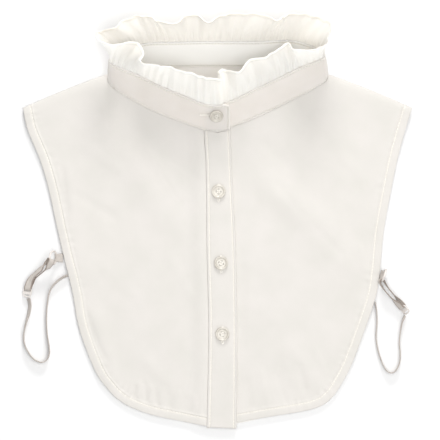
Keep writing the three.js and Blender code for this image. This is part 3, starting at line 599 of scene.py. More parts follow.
def ruffle_edge_at(s):
    root = band_top_at(np.clip(s, 0, 1))
    x, y = along_table(RUFFLE_FOLDS, 1, s), along_table(RUFFLE_FOLDS, 2, s)
    seen = (x - root[:, 0]) ** 2 + (y - root[:, 1]) ** 2
    rise = np.sqrt(np.maximum(RUFFLE_WIDTH**2 - seen, 36))
    return np.column_stack([x, y, root[:, 2] + rise])


def fold_height(table, x, y):
    """Soft ridges and troughs along lines, fading past their ends."""
    total = np.zeros(len(x))
    for x0, y0, x1, y1, height, width in table:
        length = math.hypot(x1 - x0, y1 - y0)
        ax, ay = (x1 - x0) / length, (y1 - y0) / length
        run = (x - x0) * ax + (y - y0) * ay
        off = (x - x0) * ay - (y - y0) * ax
        past = np.maximum(np.maximum(-run, run - length), 0)
        total += height * bell(off / width) * bell(past / (1.2 * width))
    return total


def nearest(points, x, y):
    """The distance from each x, y to the nearest of the points, and which one that is."""
    best = np.full(len(x), np.inf)
    which = np.zeros(len(x), int)
    for k, point in enumerate(points):
        gap = (x - point[0]) ** 2 + (y - point[1]) ** 2
        closer = gap < best
        best = np.where(closer, gap, best)
        which = np.where(closer, k, which)
    return np.sqrt(best), which


NECK_FRONT = seam_at(np.linspace(-0.26, 0.26, 261))


def shoulder_edge(x):
    """The y of the shoulder's line over x, taken straight."""
    tip = np.where(x < 0, FRONTS["front_right"]["tip"][1], FRONTS["front_left"]["tip"][1])
    reach = np.where(x < 0, -FRONTS["front_right"]["tip"][0], FRONTS["front_left"]["tip"][0])
    slope = (tip - SHOULDER_NECK[1]) / (reach - SHOULDER_NECK[0])
    return SHOULDER_NECK[1] + slope * (np.abs(x) - SHOULDER_NECK[0]) + SHOULDER_RISE


def bed_height(x, y):
    """The height of a front's underside: the neck's rise, the shoulder's roll and the folds."""
    near, which = nearest(NECK_FRONT, x, y)
    rise = NECK_FRONT[which, 2] - CLOTH / 2 - CLOTH - GAP
    neck = rise * bell(np.maximum(near - SEAM_SET, 0) / NECK_FADE)
    below = np.maximum(shoulder_edge(x) - y, 0)
    rolled = (1 - np.exp(-below / 3)) * np.exp(-below / 26)
    roll = 2.6 * rolled * smooth((np.abs(x) - 70) / 30)
    return CLOTH + GAP + np.maximum(neck + roll + fold_height(FRONT_FOLDS, x, y), 0)


def placket_edge(column, y):
    return along_table(PLACKET_EDGES, column, np.clip(y, -176, 80))


def unevenness(x, y, size, seed):
    """Soft random relief from -1 to 1 over patches of about one size."""
    return np.array([noise.noise(Vector((a / size, b / size, seed))) for a, b in zip(x, y)])


# ---------------------------------------------------------------- making a piece


def finished(name, mesh, material, nodes=()):
    """Links a piece, shaded smooth, that rides on the body and stands for its nodes."""
    mesh.materials.append(material)
    mesh.polygons.foreach_set("use_smooth", np.ones(len(mesh.polygons), bool))
    piece = link(bpy.data.objects.new(name, mesh))
    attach(piece, "root")
    if nodes:
        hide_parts(*nodes)
    return piece


def shell(name, columns, rows, faces, cut, material, nodes=()):
    """A closed wall over a grid. faces(i, j) gives both faces' points and a share of painted
    shade that darkens the colour along stitch lines and selvages, and cut(i, j) where they
    lie on the flat cut."""
    made = bmesh.new()
    bmesh.ops.create_grid(made, x_segments=columns, y_segments=rows, size=0.5)
    grown = bmesh.ops.extrude_face_region(made, geom=made.faces[:], use_keep_orig=True)
    for vert in grown["geom"]:
        if isinstance(vert, bmesh.types.BMVert):
            vert.co.z = 1
    made.verts.index_update()
    flat = np.array([vert.co for vert in made.verts])
    i = np.rint((flat[:, 0] + 0.5) * columns).astype(int)
    j = np.rint((flat[:, 1] + 0.5) * rows).astype(int)
    outer, inner, press_and_painted_shade = faces(i, j)
    places = np.where(flat[:, 2:] > 0.5, outer, inner) * MM
    for vert, place in zip(made.verts, places):
        vert.co = place
    bmesh.ops.recalc_face_normals(made, faces=made.faces)
    mesh = mesh_of(made, name)
    corner = np.empty(len(mesh.loops), np.int32)
    mesh.loops.foreach_get("vertex_index", corner)
    layer = mesh.uv_layers.new(name="cut")
    layer.data.foreach_set("uv", (cut(i, j) * MM)[corner].astype(np.float32).ravel())
    # Attributes for the colour: the share of painted shade, and which face is inner, by which some pieces
    # take painted light and shade on one face.
    for key, values in (("press_and_painted_shade", np.broadcast_to(press_and_painted_shade, len(i))), ("inner", 1 - flat[:, 2])):
        shade = mesh.attributes.new(key, "FLOAT", "POINT")
        shade.data.foreach_set("value", values.astype(np.float32))
    return finished(name, mesh, material, nodes)


PLAIN_EDGE = np.array([0, 0.12, 0.4, 0.9, 1.6])
STITCHED_EDGE = np.array([0, 0.12, 0.4, 0.9, 1.4, 1.8, 2.1, 2.4, 2.7, 3.0, 3.5, 4.2])
HEM_EDGE = np.array([
    0, 0.12, 0.4, 0.9, 1.6, 2.6, 3.6, 4.5, 5.2, 5.8, 6.2, 6.5, 6.8, 7.2, 7.6, 8.0, 8.4, 8.9, 9.8, 11,
])


def spread(i, count, length, start, finish):
    """Line i of count: set lines beside both edges and even ones between, from 0 to 1."""
    i = np.asarray(i)
    first, last = len(start) - 1, count - len(finish) + 1
    place = mix(start[-1], length - finish[-1], (i - first) / (last - first))
    place = np.where(i < first, start[np.minimum(i, first)], place)
    back = count - i
    place = np.where(i > last, length - finish[np.clip(back, 0, len(finish) - 1)], place)
    return place / length


def rounded(distance, half):
    """How much of a wall's half thickness is left this near to its round edge."""
    return np.sqrt(1 - (1 - np.clip(distance / half, 0, 1)) ** 2)


def wall_faces(surface, u, v, half, raised=0):
    """Both faces of a wall about a surface of u and v; raised lifts the outer one."""
    step = 1e-3
    across = np.cross(
        surface(u, v + step) - surface(u, v - step), surface(u + step, v) - surface(u - step, v)
    )
    normal = unit(across)
    middle = surface(u, v)
    return middle + normal * (half + raised)[:, None], middle - normal * half[:, None]


def repeated(name, grain, places, material):
    """One mesh of a small grain repeated at each place: a centre and three half axes."""
    made = bmesh.new()
    bmesh.ops.create_uvsphere(made, u_segments=grain[0], v_segments=grain[1], radius=1)
    shape = np.array([vert.co for vert in made.verts])
    sides = [[vert.index for vert in face.verts] for face in made.faces]
    made.free()
    points = places[:, None, 0] + np.einsum("vk,pkc->pvc", shape, places[:, 1:])
    turns = [[k + len(shape) * copy for k in side] for copy in range(len(places)) for side in sides]
    mesh = bpy.data.meshes.new(name)
    mesh.from_pydata((points.reshape(-1, 3) * MM).tolist(), [], turns)
    return finished(name, mesh, material)


STITCH_LENGTH = 2.0
STITCH_PITCH = 2.6
STITCH_GRAIN = (6, 4)


def stitch_places(points, normals):
    """The places of the stitches of one row along its points, with the cloth's normals there."""
    steps = np.linalg.norm(np.diff(points, axis=0), axis=1)
    walked = np.concatenate([[0], np.cumsum(steps)])
    starts = np.arange(0.4, walked[-1] - STITCH_LENGTH, STITCH_PITCH)
    on = lambda values, d: np.stack([np.interp(d, walked, values[:, k]) for k in range(3)], axis=-1)
    first, last = on(points, starts), on(points, starts + STITCH_LENGTH)
    along = unit(last - first)
    up = on(normals, starts + STITCH_LENGTH / 2)
    up = unit(up - along * (up * along).sum(axis=1)[:, None])
    side = np.cross(up, along)
    return np.stack([(first + last) / 2, along * STITCH_LENGTH / 2, side * 0.22, up * 0.17], axis=1)


def stitching(name, runs, material):
    """Rows of small thread stitches; each run is its points and the normals there."""
    places = np.concatenate([stitch_places(*run) for run in runs])
    return repeated(name, STITCH_GRAIN, places, material)


# ---------------------------------------------------------------- the cloth pieces


def sewn_neck(shape, t):
    """A front's neck edge, let into the band: further in where the band is set in."""
    s = mix(shape["neck_start"], -shape["sign"] * NECK_END, t)
    set_in = np.minimum(0.75 * lap_at(s % 1), 0) if shape["sign"] > 0 else 0 * s
    return seam_at(s)[:, :2] + (set_in - NECK_LET_IN)[:, None] * out_of_neck(s)


def front_lines(shape):
    """The four lines of a front: foot and head over u, inner and outer over v."""
    sign = shape["sign"]
    armhole = [shape["corner"], *shape["armhole"], shape["tip"]]
    bottom = [*shape["bottom"], shape["corner"]]
    inner_x = lambda y: placket_edge(1, y) + (GAP if sign > 0 else -0.03)
    foot = np.array([inner_x(np.array([shape["foot"]]))[0], shape["foot"]])
    outer = lambda v: through(armhole, v)
    top = sewn_neck(shape, np.zeros(1))[0]
    top_width = math.dist(shape["tip"], (foot[0], top[1]))
    share = SHOULDER_SHARE * (1 - (HEM_WIDTH + 1.2) / top_width)

    def shoulder(t):
        x = mix(sign * SHOULDER_NECK[0], shape["tip"][0], t)
        y = mix(SHOULDER_NECK[1], shape["tip"][1], t) + SHOULDER_RISE * np.sin(np.pi * t)
        return np.stack([x, y], axis=-1)

    def head(u):
        on_neck = (u <= share)[:, None]
        neck = sewn_neck(shape, np.clip(u / share, 0, 1))
        return np.where(on_neck, neck, shoulder(np.clip((u - share) / (1 - share), 0, 1)))

    def inner(v):
        y = mix(foot[1], top[1], v)
        return np.stack([mix(inner_x(y), top[0], smooth(12 * v - 11)), y], axis=-1)

    def foot_line(u):
        low = through(bottom, u)
        return low + (foot - through(bottom, np.zeros(1))) * (1 - smooth(3 * u))[:, None]

    return foot_line, head, inner, outer


def patch(lines, u, v):
    """A point of the patch between four lines."""
    foot, head, inner, outer = lines
    zero, one = np.zeros(1), np.ones(1)
    a, b = u[:, None], v[:, None]
    sides = foot(u) * (1 - b) + head(u) * b + inner(v) * (1 - a) + outer(v) * a
    corners = foot(zero) * (1 - a) * (1 - b) + head(zero) * (1 - a) * b
    return sides - corners - foot(one) * a * (1 - b) - head(one) * a * b


def hem_outline(lines):
    """Points along a front's hemmed edge, from the placket's foot round to the shoulder."""
    foot, _, _, outer = lines
    return np.concatenate([foot(np.linspace(0, 1, 140)), outer(np.linspace(0, 1, 260))[1:]])


def front_heights(shape, x, y, edge, ticks):
    """The top and the underside of a front over x and y, and how far its hem is pressed, which
    also sets the painted shade along the hem's stitch line.
    """
    sign = shape["sign"]
    distance, which = nearest(edge, x, y)
    along = ticks[which]
    inset = x - placket_edge(1, y) + 16
    climb = smooth(inset / 12) * (CLOTH + GAP) - 0.35 * smooth((inset - 13.4) / 2.2) if sign < 0 else 0
    covered = (x < placket_edge(2, y) + 1) if sign > 0 else np.zeros(len(x), bool)
    hemmed = np.where(covered, 0, 1)
    hem = hemmed * (1 - smooth((distance - 7.6) / 1.1))
    # The hem's stitch line presses the cloth in; the same share paints shade there.
    press_and_painted_shade = hemmed * bell((distance - HEM_STITCH) / 0.75)
    turn = along * 0.86 + 2.2 * np.sin(along * 0.093)
    pull = np.sin(turn) * (0.6 + 0.4 * np.sin(along * 0.171 + 1))
    pulled = 0.26 * bell((distance - 8.4) / 3.6) + 0.1 * bell(distance / 5)
    pucker = pull * pulled * hemmed * (1 + 0.6 * (x < -20) * (y < -120))
    creases = fold_height(FRONT_CREASES, x, y)
    drift = 0.16 * unevenness(x, y, 34, 3.1 * sign) + 0.05 * unevenness(x, y, 9, 7.7 * sign)
    relief = np.maximum(creases + drift, -0.55) * smooth((distance - 2) / 7)
    plumped = hemmed * (0.2 * bell((distance - 3.2) / 2.2) + 0.14 * bell((distance - 7.9) / 0.5))
    hem_form = HEM_RAISE * hem - HEM_PRESS * press_and_painted_shade + pucker + plumped
    top = bed_height(x, y) + climb + CLOTH + relief + hem_form
    under = top - mix(PANEL_WALL, HEM_WALL, hem) + pucker - 0.3 * press_and_painted_shade
    return top, np.minimum(under, top - 0.5), distance, press_and_painted_shade


FRONT_GRID = (112, 172)
BACK_GRID = (120, 76)
BACK_REACH = (290, 280)  # about its width and length, for the lines beside its edges


def front(name, material, thread):
    """A front on the back: a thin panel with a turned, stitched hem down to the placket."""
    shape = FRONTS[name]
    sign = shape["sign"]
    lines = front_lines(shape)
    _, _, inner, outer = lines
    edge = hem_outline(lines)
    ticks = np.concatenate([[0], np.cumsum(np.linalg.norm(np.diff(edge, axis=0), axis=1))])
    columns, rows = FRONT_GRID
    start, end = inner(np.zeros(1))[0], inner(np.ones(1))[0]
    height = end[1] - start[1]

    def plan(i, j):
        v = 1 - spread(rows - j, rows, height, PLAIN_EDGE, HEM_EDGE)
        level = np.stack([np.full(len(v), start[0]), mix(start[1], end[1], v)], axis=-1)
        width = np.linalg.norm(outer(v) - level, axis=1)
        return patch(lines, spread(i, columns, width, PLAIN_EDGE, HEM_EDGE), v)

    def faces(i, j):
        place = plan(i, j)
        x, y = place[:, 0], place[:, 1]
        top, under, distance, press_and_painted_shade = front_heights(shape, x, y, edge, ticks)
        near_head = spread(rows - j, rows, height, PLAIN_EDGE, HEM_EDGE) * height
        on_shoulder = np.abs(x) > SHOULDER_NECK[0]
        rolled = np.where(on_shoulder, 1.35 * (1 - smooth(near_head / 0.6)), 0)
        middle, half = (top + under) / 2 - rolled, (top - under) / 2
        half = half * np.maximum(rounded(np.minimum(distance, near_head), 0.7), 0.05)
        return np.column_stack([x, y, middle + half]), np.column_stack([x, y, middle - half]), press_and_painted_shade

    piece = shell(name + "_cloth", columns, rows, faces, plan, material, [name])
    along = unit(np.gradient(edge, axis=0))
    inward = np.stack([-along[:, 1], along[:, 0]], axis=-1) * sign
    stitched = edge + inward * HEM_STITCH
    x, y = stitched.T
    distance, _ = nearest(edge, x, y)
    kept = (x * sign > (18.5 if sign > 0 else 12.5)) & (distance > HEM_STITCH - 0.3)
    kept &= y < shoulder_edge(x) - 2
    x, y = x[kept], y[kept]
    top, _, _, _ = front_heights(shape, x, y, edge, ticks)
    run = np.column_stack([x, y, top + 0.06])
    stitching(name + "_hem_stitches", [(run, np.tile(UP, (len(x), 1)))], thread)
    return piece


def back(material):
    """The back lies flat, in one piece from side to side, open at the neck."""
    left, right = FRONTS["front_right"], FRONTS["front_left"]
    inset = np.array([BACK_INSET, 0])
    outer = [
        np.array([shape["corner"], *shape["armhole"], shape["tip"]]) - shape["sign"] * inset
        for shape in (left, right)
    ]
    rise = np.array([0, 2 * BACK_INSET])
    bottom = np.array([
        np.array(left["corner"]) + BACK_INSET,
        *[np.array(p) + rise for p in reversed(left["bottom"])],
        *[np.array(p) + rise for p in right["bottom"]],
        np.array(right["corner"]) + (-BACK_INSET, BACK_INSET),
    ])
    share = 0.2  # of the upper edge, for each shoulder

    def shoulder(sign, tip, t):
        x = mix(sign * SHOULDER_NECK[0], tip[0], t) - sign * BACK_INSET * t
        y = mix(SHOULDER_NECK[1], tip[1], t) + SHOULDER_RISE * np.sin(np.pi * t) - BACK_INSET
        return np.stack([x, y], axis=-1)

    def head(u):
        a = shoulder(-1, left["tip"], np.clip(1 - u / share, 0, 1))
        b = shoulder(1, right["tip"], np.clip((u - 1 + share) / share, 0, 1))
        neck = neck_line(0.275, 0.725, np.clip((u - share) / (1 - 2 * share), 0, 1), -0.2)
        return np.where((u < share)[:, None], a, np.where((u > 1 - share)[:, None], b, neck))

    lines = (
        lambda u: through(bottom, u), head,
        lambda v: through(outer[0], v), lambda v: through(outer[1], v),
    )
    columns, rows = BACK_GRID

    def plan(i, j):
        u = spread(i, columns, BACK_REACH[0], PLAIN_EDGE, PLAIN_EDGE)
        v = spread(j, rows, BACK_REACH[1], PLAIN_EDGE, PLAIN_EDGE)
        return patch(lines, u, v)

    def faces(i, j):
        place = plan(i, j)
        x, y = place[:, 0], place[:, 1]
        gap = np.minimum(np.minimum(i, columns - i), np.minimum(j, rows - j))
        half = np.where(gap == 0, 0.06, np.where(gap == 1, 0.36, np.where(gap == 2, 0.54, 0.59)))
        drift = 0.05 * unevenness(x, y, 30, 21) - 0.03
        lower = np.where(gap > 2, 0.0, 0.6 - half)
        upper = 0.6 + half + np.where(gap > 2, drift, 0)
        return np.column_stack([x, y, upper]), np.column_stack([x, y, lower]), 0

    return shell("back_panel_cloth", columns, rows, faces, plan, material, ["back_panel"])


def placket_point(u, v):
    """A point of the placket's plan, across u and up v."""
    foot = mix(PLACKET_FOOT[0], PLACKET_FOOT[1], u)
    head_y = lambda x: NECK_STATIONS[0, 1] - 0.9 + 0.24 * np.abs(x)
    edge_y = mix(foot, head_y(0), v)
    y = mix(foot, head_y(mix(placket_edge(1, edge_y), placket_edge(2, edge_y), u)), v)
    return np.stack([mix(placket_edge(1, y), placket_edge(2, y), u), y], axis=-1)


PLACKET_SEAM = 25.4  # its finished width
PLACKET_LENGTH = 251
PLACKET_STITCH = 2.5


def placket_top(x, y, to_edge):
    """Its top: puffed between its rows of stitches, and pulled down along them."""
    base = bed_height(x, y) + CLOTH + GAP + PLACKET_EASE + PLACKET_WALL
    puffed = 0.2 * bell((to_edge - 1.1) / 0.9) + 0.12 * smooth((to_edge - 3) / 4)
    pull = 0.1 * np.sin(y * 0.93 + 1.7 * np.sin(y * 0.11)) * bell((to_edge - 3.2) / 2.2)
    # Pressed in along the stitches; the same share paints shade there.
    press_and_painted_shade = bell((to_edge - PLACKET_STITCH) / 0.65)
    return base - PLACKET_PRESS * press_and_painted_shade + puffed + pull + 0.08 * unevenness(x, y, 13, 40), press_and_painted_shade


def placket(material, thread):
    """The placket: a folded strip with a row of stitches down each edge."""
    columns, rows = 36, 150

    def params(i, j):
        u = spread(i, columns, PLACKET_SEAM, STITCHED_EDGE, STITCHED_EDGE)
        v = spread(j, rows, PLACKET_LENGTH, PLAIN_EDGE, PLAIN_EDGE)
        return u, v, np.minimum(u, 1 - u) * PLACKET_SEAM, np.minimum(v, 1 - v) * PLACKET_LENGTH

    def plan(i, j):
        u, v, _, _ = params(i, j)
        return placket_point(u, v)

    def faces(i, j):
        u, v, side, end = params(i, j)
        place = placket_point(u, v)
        x, y = place[:, 0], place[:, 1]
        top, press_and_painted_shade = placket_top(x, y, side)
        under = bed_height(x, y) + CLOTH + GAP + PLACKET_EASE
        middle, half = (top + under) / 2, (top - under) / 2
        half = half * np.maximum(rounded(np.minimum(side, end), 0.8), 0.05)
        return np.column_stack([x, y, middle + half]), np.column_stack([x, y, middle - half]), press_and_painted_shade

    piece = shell("placket_cloth", columns, rows, faces, plan, material, ["placket"])
    runs = []
    for u in (PLACKET_STITCH / PLACKET_SEAM, 1 - PLACKET_STITCH / PLACKET_SEAM):
        v = np.linspace(0.008, 0.992, 260)
        place = placket_point(np.full(len(v), u), v)
        top, _ = placket_top(place[:, 0], place[:, 1], PLACKET_STITCH)
        runs.append((np.column_stack([place, top + 0.06]), np.tile(UP, (len(v), 1))))
    stitching("placket_stitches", runs, thread)
    return piece


BAND_LENGTH = NECK_ROUND * (1 + 2 * LAP_TURN)
BAND_STITCH = 2.2
LAP_CORNER = 7  # the round of the band's upper corner at each end


def band_surface(u, v):
    """The band's middle surface from end to end, with its upper corners rounded."""
    from_end = np.clip(np.minimum(u, 1 - u), 0, 1) * BAND_LENGTH
    inset = LAP_CORNER - np.sqrt(
        np.maximum(LAP_CORNER**2 - np.maximum(LAP_CORNER - from_end, 0) ** 2, 0)
    )
    return band_at(mix(-LAP_TURN, 1 + LAP_TURN, u), v * (1 - 0.8 * inset / BAND_WIDTH))


def band(material, thread):
    """The band, stitched all round, on both faces along its length."""
    columns, rows = 230, 30

    def params(i, j):
        u = spread(i, columns, BAND_LENGTH, STITCHED_EDGE, STITCHED_EDGE)
        v = spread(j, rows, BAND_WIDTH, STITCHED_EDGE, STITCHED_EDGE)
        return u, v

    def cut(i, j):
        u, v = params(i, j)
        return np.stack([u * BAND_LENGTH, v * BAND_WIDTH], axis=-1)

    def faces(i, j):
        u, v = params(i, j)
        place = cut(i, j)
        side = np.minimum(v, 1 - v) * BAND_WIDTH
        end = np.minimum(u, 1 - u) * BAND_LENGTH
        edge = np.minimum(side, end)
        half = BAND_WALL / 2 * np.maximum(rounded(edge, 0.8), 0.05)
        # Pressed in along the stitches; the same share paints shade there.
        press_and_painted_shade = bell((edge - BAND_STITCH) / 0.6)
        pull = 0.09 * np.sin(place[:, 0] * 0.9 + 1.5 * np.sin(place[:, 0] * 0.07)) * bell((side - 3) / 3)
        drift = 0.12 * unevenness(place[:, 0], place[:, 1], 17, 55)
        puffed = 0.14 * bell((edge - 1) / 0.8)
        raised = (pull + drift) * smooth(edge / 3) + puffed
        return *wall_faces(band_surface, u, v, half - BAND_PRESS * press_and_painted_shade, raised), press_and_painted_shade

    piece = shell("collar_band_cloth", columns, rows, faces, cut, material, ["collar_band"])
    lap = BAND_STITCH / BAND_LENGTH
    low, high = BAND_STITCH / BAND_WIDTH, 1 - BAND_STITCH / BAND_WIDTH
    round_neck = np.linspace(lap, 1 - lap, 900)
    up = np.linspace(low, high, 40)
    runs = []
    for u, v in (
        (round_neck, np.full(len(round_neck), low)),
        (round_neck, np.full(len(round_neck), high)),
        (np.full(len(up), lap), up),
        (np.full(len(up), 1 - lap), up),
    ):
        outer, inner = wall_faces(band_surface, u, v, np.full(len(u), BAND_WALL / 2 - 0.24))
        normals = unit(outer - inner)
        runs.append((outer, normals))
        if u is round_neck:
            runs.append((inner, -normals))
    stitching("collar_band_stitches", runs, thread)
    return piece


RUFFLE_FROM, RUFFLE_TO = -0.01, 0.998
RUFFLE_TUCK = 1.2  # its gathered edge is sewn in between the band's two layers
RUFFLE_HALF_WALL = 0.28
RUFFLE_HALF_RIM = 0.62  # of its rolled edge
RUFFLE_RIM = 1.6
RUFFLE_STITCH = 1.9


def ruffle_surface(u, v):
    """The ruffle's middle surface: out of the band, then over to its free edge's folds."""
    s = mix(RUFFLE_FROM, RUFFLE_TO, u)
    root = band_top_at(s)
    rise = unit(root - seam_at(s))
    edge = ruffle_edge_at(s)
    root = root - rise * RUFFLE_TUCK
    hold = root + rise * (RUFFLE_WIDTH * RUFFLE_RISE + RUFFLE_TUCK)
    w = np.clip(v, -0.01, 1.01)[:, None]
    across = root * (1 - w) ** 2 + hold * 2 * w * (1 - w) + edge * w**2
    along = unit(band_top_at(s + 2e-3) - band_top_at(s - 2e-3))
    out = unit(np.cross(rise, along))
    across = across + out * (lap_at(s) * (1 - 0.4 * v))[:, None]
    turn = 2 * np.pi * GATHERS * u
    uneven = turn + 1.5 * np.sin(turn * 0.083) + 0.8 * np.sin(turn * 0.211 + 1)
    deep = 0.75 + 0.35 * np.sin(turn * 0.137 + 0.6)
    gather = np.sin(uneven) * GATHER_DEPTH * 1.4 * deep * smooth(v * 5) * (1 - 0.45 * v)
    fine = 0.26 * np.sin(uneven * 2.6 + 0.7) * smooth(v * 8) * np.maximum(1 - 1.5 * v, 0)
    flute = 0.6 * np.sin(turn * 0.61 + 2 * np.sin(turn * 0.05)) * smooth((v - 0.4) * 2)
    return across + out * (gather + fine + flute)[:, None]


def ruffle(material):
    """The ruffle: thin gathered cloth with a narrow rolled and stitched rim."""
    columns, rows = 16 * GATHERS, 26
    first = np.array([0, 0.4, 1.0, 1.8])
    rim = np.array([0, 0.1, 0.3, 0.6, 1.0, 1.4, 1.7, 2.0, 2.3, 2.8, 3.6])

    def params(i, j):
        return i / columns, spread(j, rows, RUFFLE_WIDTH, first, rim)

    def cut(i, j):
        u, v = params(i, j)
        return np.stack([u * RUFFLE_LENGTH, v * RUFFLE_WIDTH], axis=-1)

    def faces(i, j):
        u, v = params(i, j)
        end = np.minimum(u, 1 - u) * NECK_ROUND
        from_rim = (1 - v) * RUFFLE_WIDTH
        rolled = 1 - smooth((from_rim - RUFFLE_RIM) / 0.5)
        half = mix(RUFFLE_HALF_WALL, RUFFLE_HALF_RIM, rolled)
        half = half * np.maximum(rounded(np.minimum(from_rim, end), 0.6), 0.06)
        # Painted shade only: a darker line of colour along the rim's stitching, with no relief.
        stitched = 0.8 * bell((from_rim - RUFFLE_STITCH) / 0.35)
        return *wall_faces(ruffle_surface, u, v, half), stitched

    return shell("ruffle_cloth", columns, rows, faces, cut, material, ["ruffle"])


# ---------------------------------------------------------------- buttons

HOLE_RADIUS = 0.72
HOLE_SET = 1.25  # from the middle, both ways
BUTTON_OUTLINE = [
    (0, 0), (3.6, 0.02), (4.7, 0.16), (5.5, 0.62), (5.86, 1.1), (5.9, 1.45), (5.8, 1.86),
    (5.5, 2.12), (5.1, 2.2), (4.72, 2.12), (4.4, 1.9), (4.1, 1.62), (3.6, 1.5),
    (2.9, 1.52), (2.2, 1.5), (0, 1.46),
]
BUTTON_FACE = 1.5  # the height of its dished face


def spun(made, geom, steps, merge):
    """Spins a section all the way round Z and welds where it meets itself."""
    bmesh.ops.spin(
        made, geom=geom, cent=(0, 0, 0), axis=(0, 0, 1), angle=2 * math.pi, steps=steps, use_merge=True,
    )
    bmesh.ops.remove_doubles(made, verts=made.verts, dist=merge)


def button_mesh():
    """A four-hole shirt button: a rounded back, a raised rim and a dished face."""
    made = bmesh.new()
    points = [made.verts.new((x * MM, 0, z * MM)) for x, z in BUTTON_OUTLINE]
    edges = [made.edges.new(pair) for pair in zip(points, points[1:])]
    spun(made, points + edges, 56, 0.01 * MM)
    bmesh.ops.recalc_face_normals(made, faces=made.faces)
    mesh = mesh_of(made, "button_blank")
    drills = bmesh.new()
    for sx in (-1, 1):
        for sy in (-1, 1):
            place = Matrix.Translation(Vector((sx * HOLE_SET, sy * HOLE_SET, BUTTON_THICKNESS / 2)) * MM)
            bmesh.ops.create_cone(
                drills, cap_ends=True, segments=20, radius1=HOLE_RADIUS * MM,
                radius2=HOLE_RADIUS * MM, depth=3 * BUTTON_THICKNESS * MM, matrix=place,
            )
    blank = link(bpy.data.objects.new("button_blank", mesh))
    drill = link(bpy.data.objects.new("drills", mesh_of(drills, "drills")))
    cutter = blank.modifiers.new("holes", "BOOLEAN")
    cutter.operation = "DIFFERENCE"
    cutter.solver = "EXACT"
    cutter.object = drill
    graph = bpy.context.evaluated_depsgraph_get()
    drilled = bpy.data.meshes.new_from_object(blank.evaluated_get(graph))
    bpy.data.objects.remove(blank)
    bpy.data.objects.remove(drill)
    return drilled


def shaded_by_angle(piece, degrees=35):
    """Smooth shading that keeps the edges sharper than this."""
    piece.data.set_sharp_from_angle(angle=math.radians(degrees))
    return piece


def button_thread(made, place):
    """Two strands between each pair of holes, sewn square, with a shank under the button."""
    for sx, sy, along in ((0, 1, "x"), (0, -1, "x"), (1, 0, "y"), (-1, 0, "y")):
        centre = Vector((sx * HOLE_SET, sy * HOLE_SET, BUTTON_FACE + 0.12)) * MM
        long, wide = (HOLE_SET + 0.25) * MM, 0.24 * MM
        size = (long, wide, 0.2 * MM) if along == "x" else (wide, long, 0.2 * MM)
        matrix = place @ Matrix.Translation(centre) @ Matrix.Diagonal((*size, 1))
        bmesh.ops.create_uvsphere(made, u_segments=8, v_segments=6, radius=1, matrix=matrix)
    shank = place @ Matrix.Translation((0, 0, 0.35 * MM))
    bmesh.ops.create_cone(
        made, cap_ends=True, segments=14, radius1=1.9 * MM, radius2=1.7 * MM, depth=1.9 * MM, matrix=shank,
    )


def frame_of(origin, x_axis, y_axis):
    """A placing matrix from an origin and two axes, in mm."""
    x_axis, y_axis = Vector(x_axis).normalized(), Vector(y_axis).normalized()
    turn = Matrix((x_axis, y_axis, x_axis.cross(y_axis).normalized())).transposed().to_4x4()
    return Matrix.Translation(Vector(origin) * MM) @ turn


def lap_frame(x, up, out=0.0):
    """A frame on the band's lapped face, at x and this share up its width."""
    s = np.array([-(x - 0.5) / NECK_ROUND])
    foot, above = (band_at(s, np.array([share]))[0] for share in (up, up + 0.05))
    rise = Vector(above - foot).normalized()
    along = (Vector((1, 0, 0)) - rise * rise.x).normalized()
    normal = along.cross(rise)
    return frame_of(Vector(foot) + normal * (BAND_WALL / 2 + out), along, rise)


def buttons(material, thread):
    """The buttons, each with its thread; they stand on the cloth by a short shank."""
    template = button_mesh()
    places = [lap_frame(*BAND_BUTTON, out=GAP)]
    for x, y in PLACKET_BUTTONS:
        height = bed_height(np.array([x]), np.array([y]))[0] + CLOTH + PLACKET_WALL + 2 * GAP + 0.05
        places.append(frame_of((x, y, height), (1, 0, 0), (0, 1, 0)))
    turns = (8, 41, 22, 60)
    sewn = bmesh.new()
    for k, (place, turn) in enumerate(zip(places, turns)):
        turned = place @ Matrix.Rotation(math.radians(turn), 4, "Z")
        mesh = template.copy()
        mesh.name = f"button_{k + 1}_pearl"
        mesh.transform(turned)
        piece = finished(mesh.name, mesh, material, [f"button_{k + 1}"])
        shaded_by_angle(piece)
        button_thread(sewn, turned)
    finished("button_thread", mesh_of(sewn, "button_thread"), thread)


def buttonholes(thread):
    """Satin-stitched buttonholes: a level one in the band and upright ones down the placket."""
    width, side_stitches, bar_stitches = 2.3, 44, 3

    def hole(place, length):
        grains = []
        for side in (-1, 1):
            for x in np.linspace(-length / 2, length / 2, side_stitches):
                grains.append(((x, side * width / 3.6, 0.05), (0.21, width / 4.4, 0.22)))
        for end in (-1, 1):
            for k in range(bar_stitches):
                x = end * (length / 2 + 0.35 * k - 0.1)
                grains.append(((x, 0, 0.07), (0.24, width / 2, 0.24)))
        turn = np.array(place.to_3x3())
        corner = np.array(place.translation) / MM
        return [
            [corner + turn @ centre, *(turn * half).T]
            for centre, half in grains
        ]

    stitches = hole(lap_frame(BAND_BUTTON[0] - 6, BAND_BUTTON[1]), 14)
    for x, y in PLACKET_BUTTONS:
        top = placket_top(np.array([x]), np.array([y - 1.2]), 12)[0][0]
        stitches += hole(frame_of((x, y - 1.2, top), (0, 1, 0), (-1, 0, 0)), 13.4)
    repeated("buttonhole_stitches", STITCH_GRAIN, np.array(stitches), thread)


# ---------------------------------------------------------------- the side straps

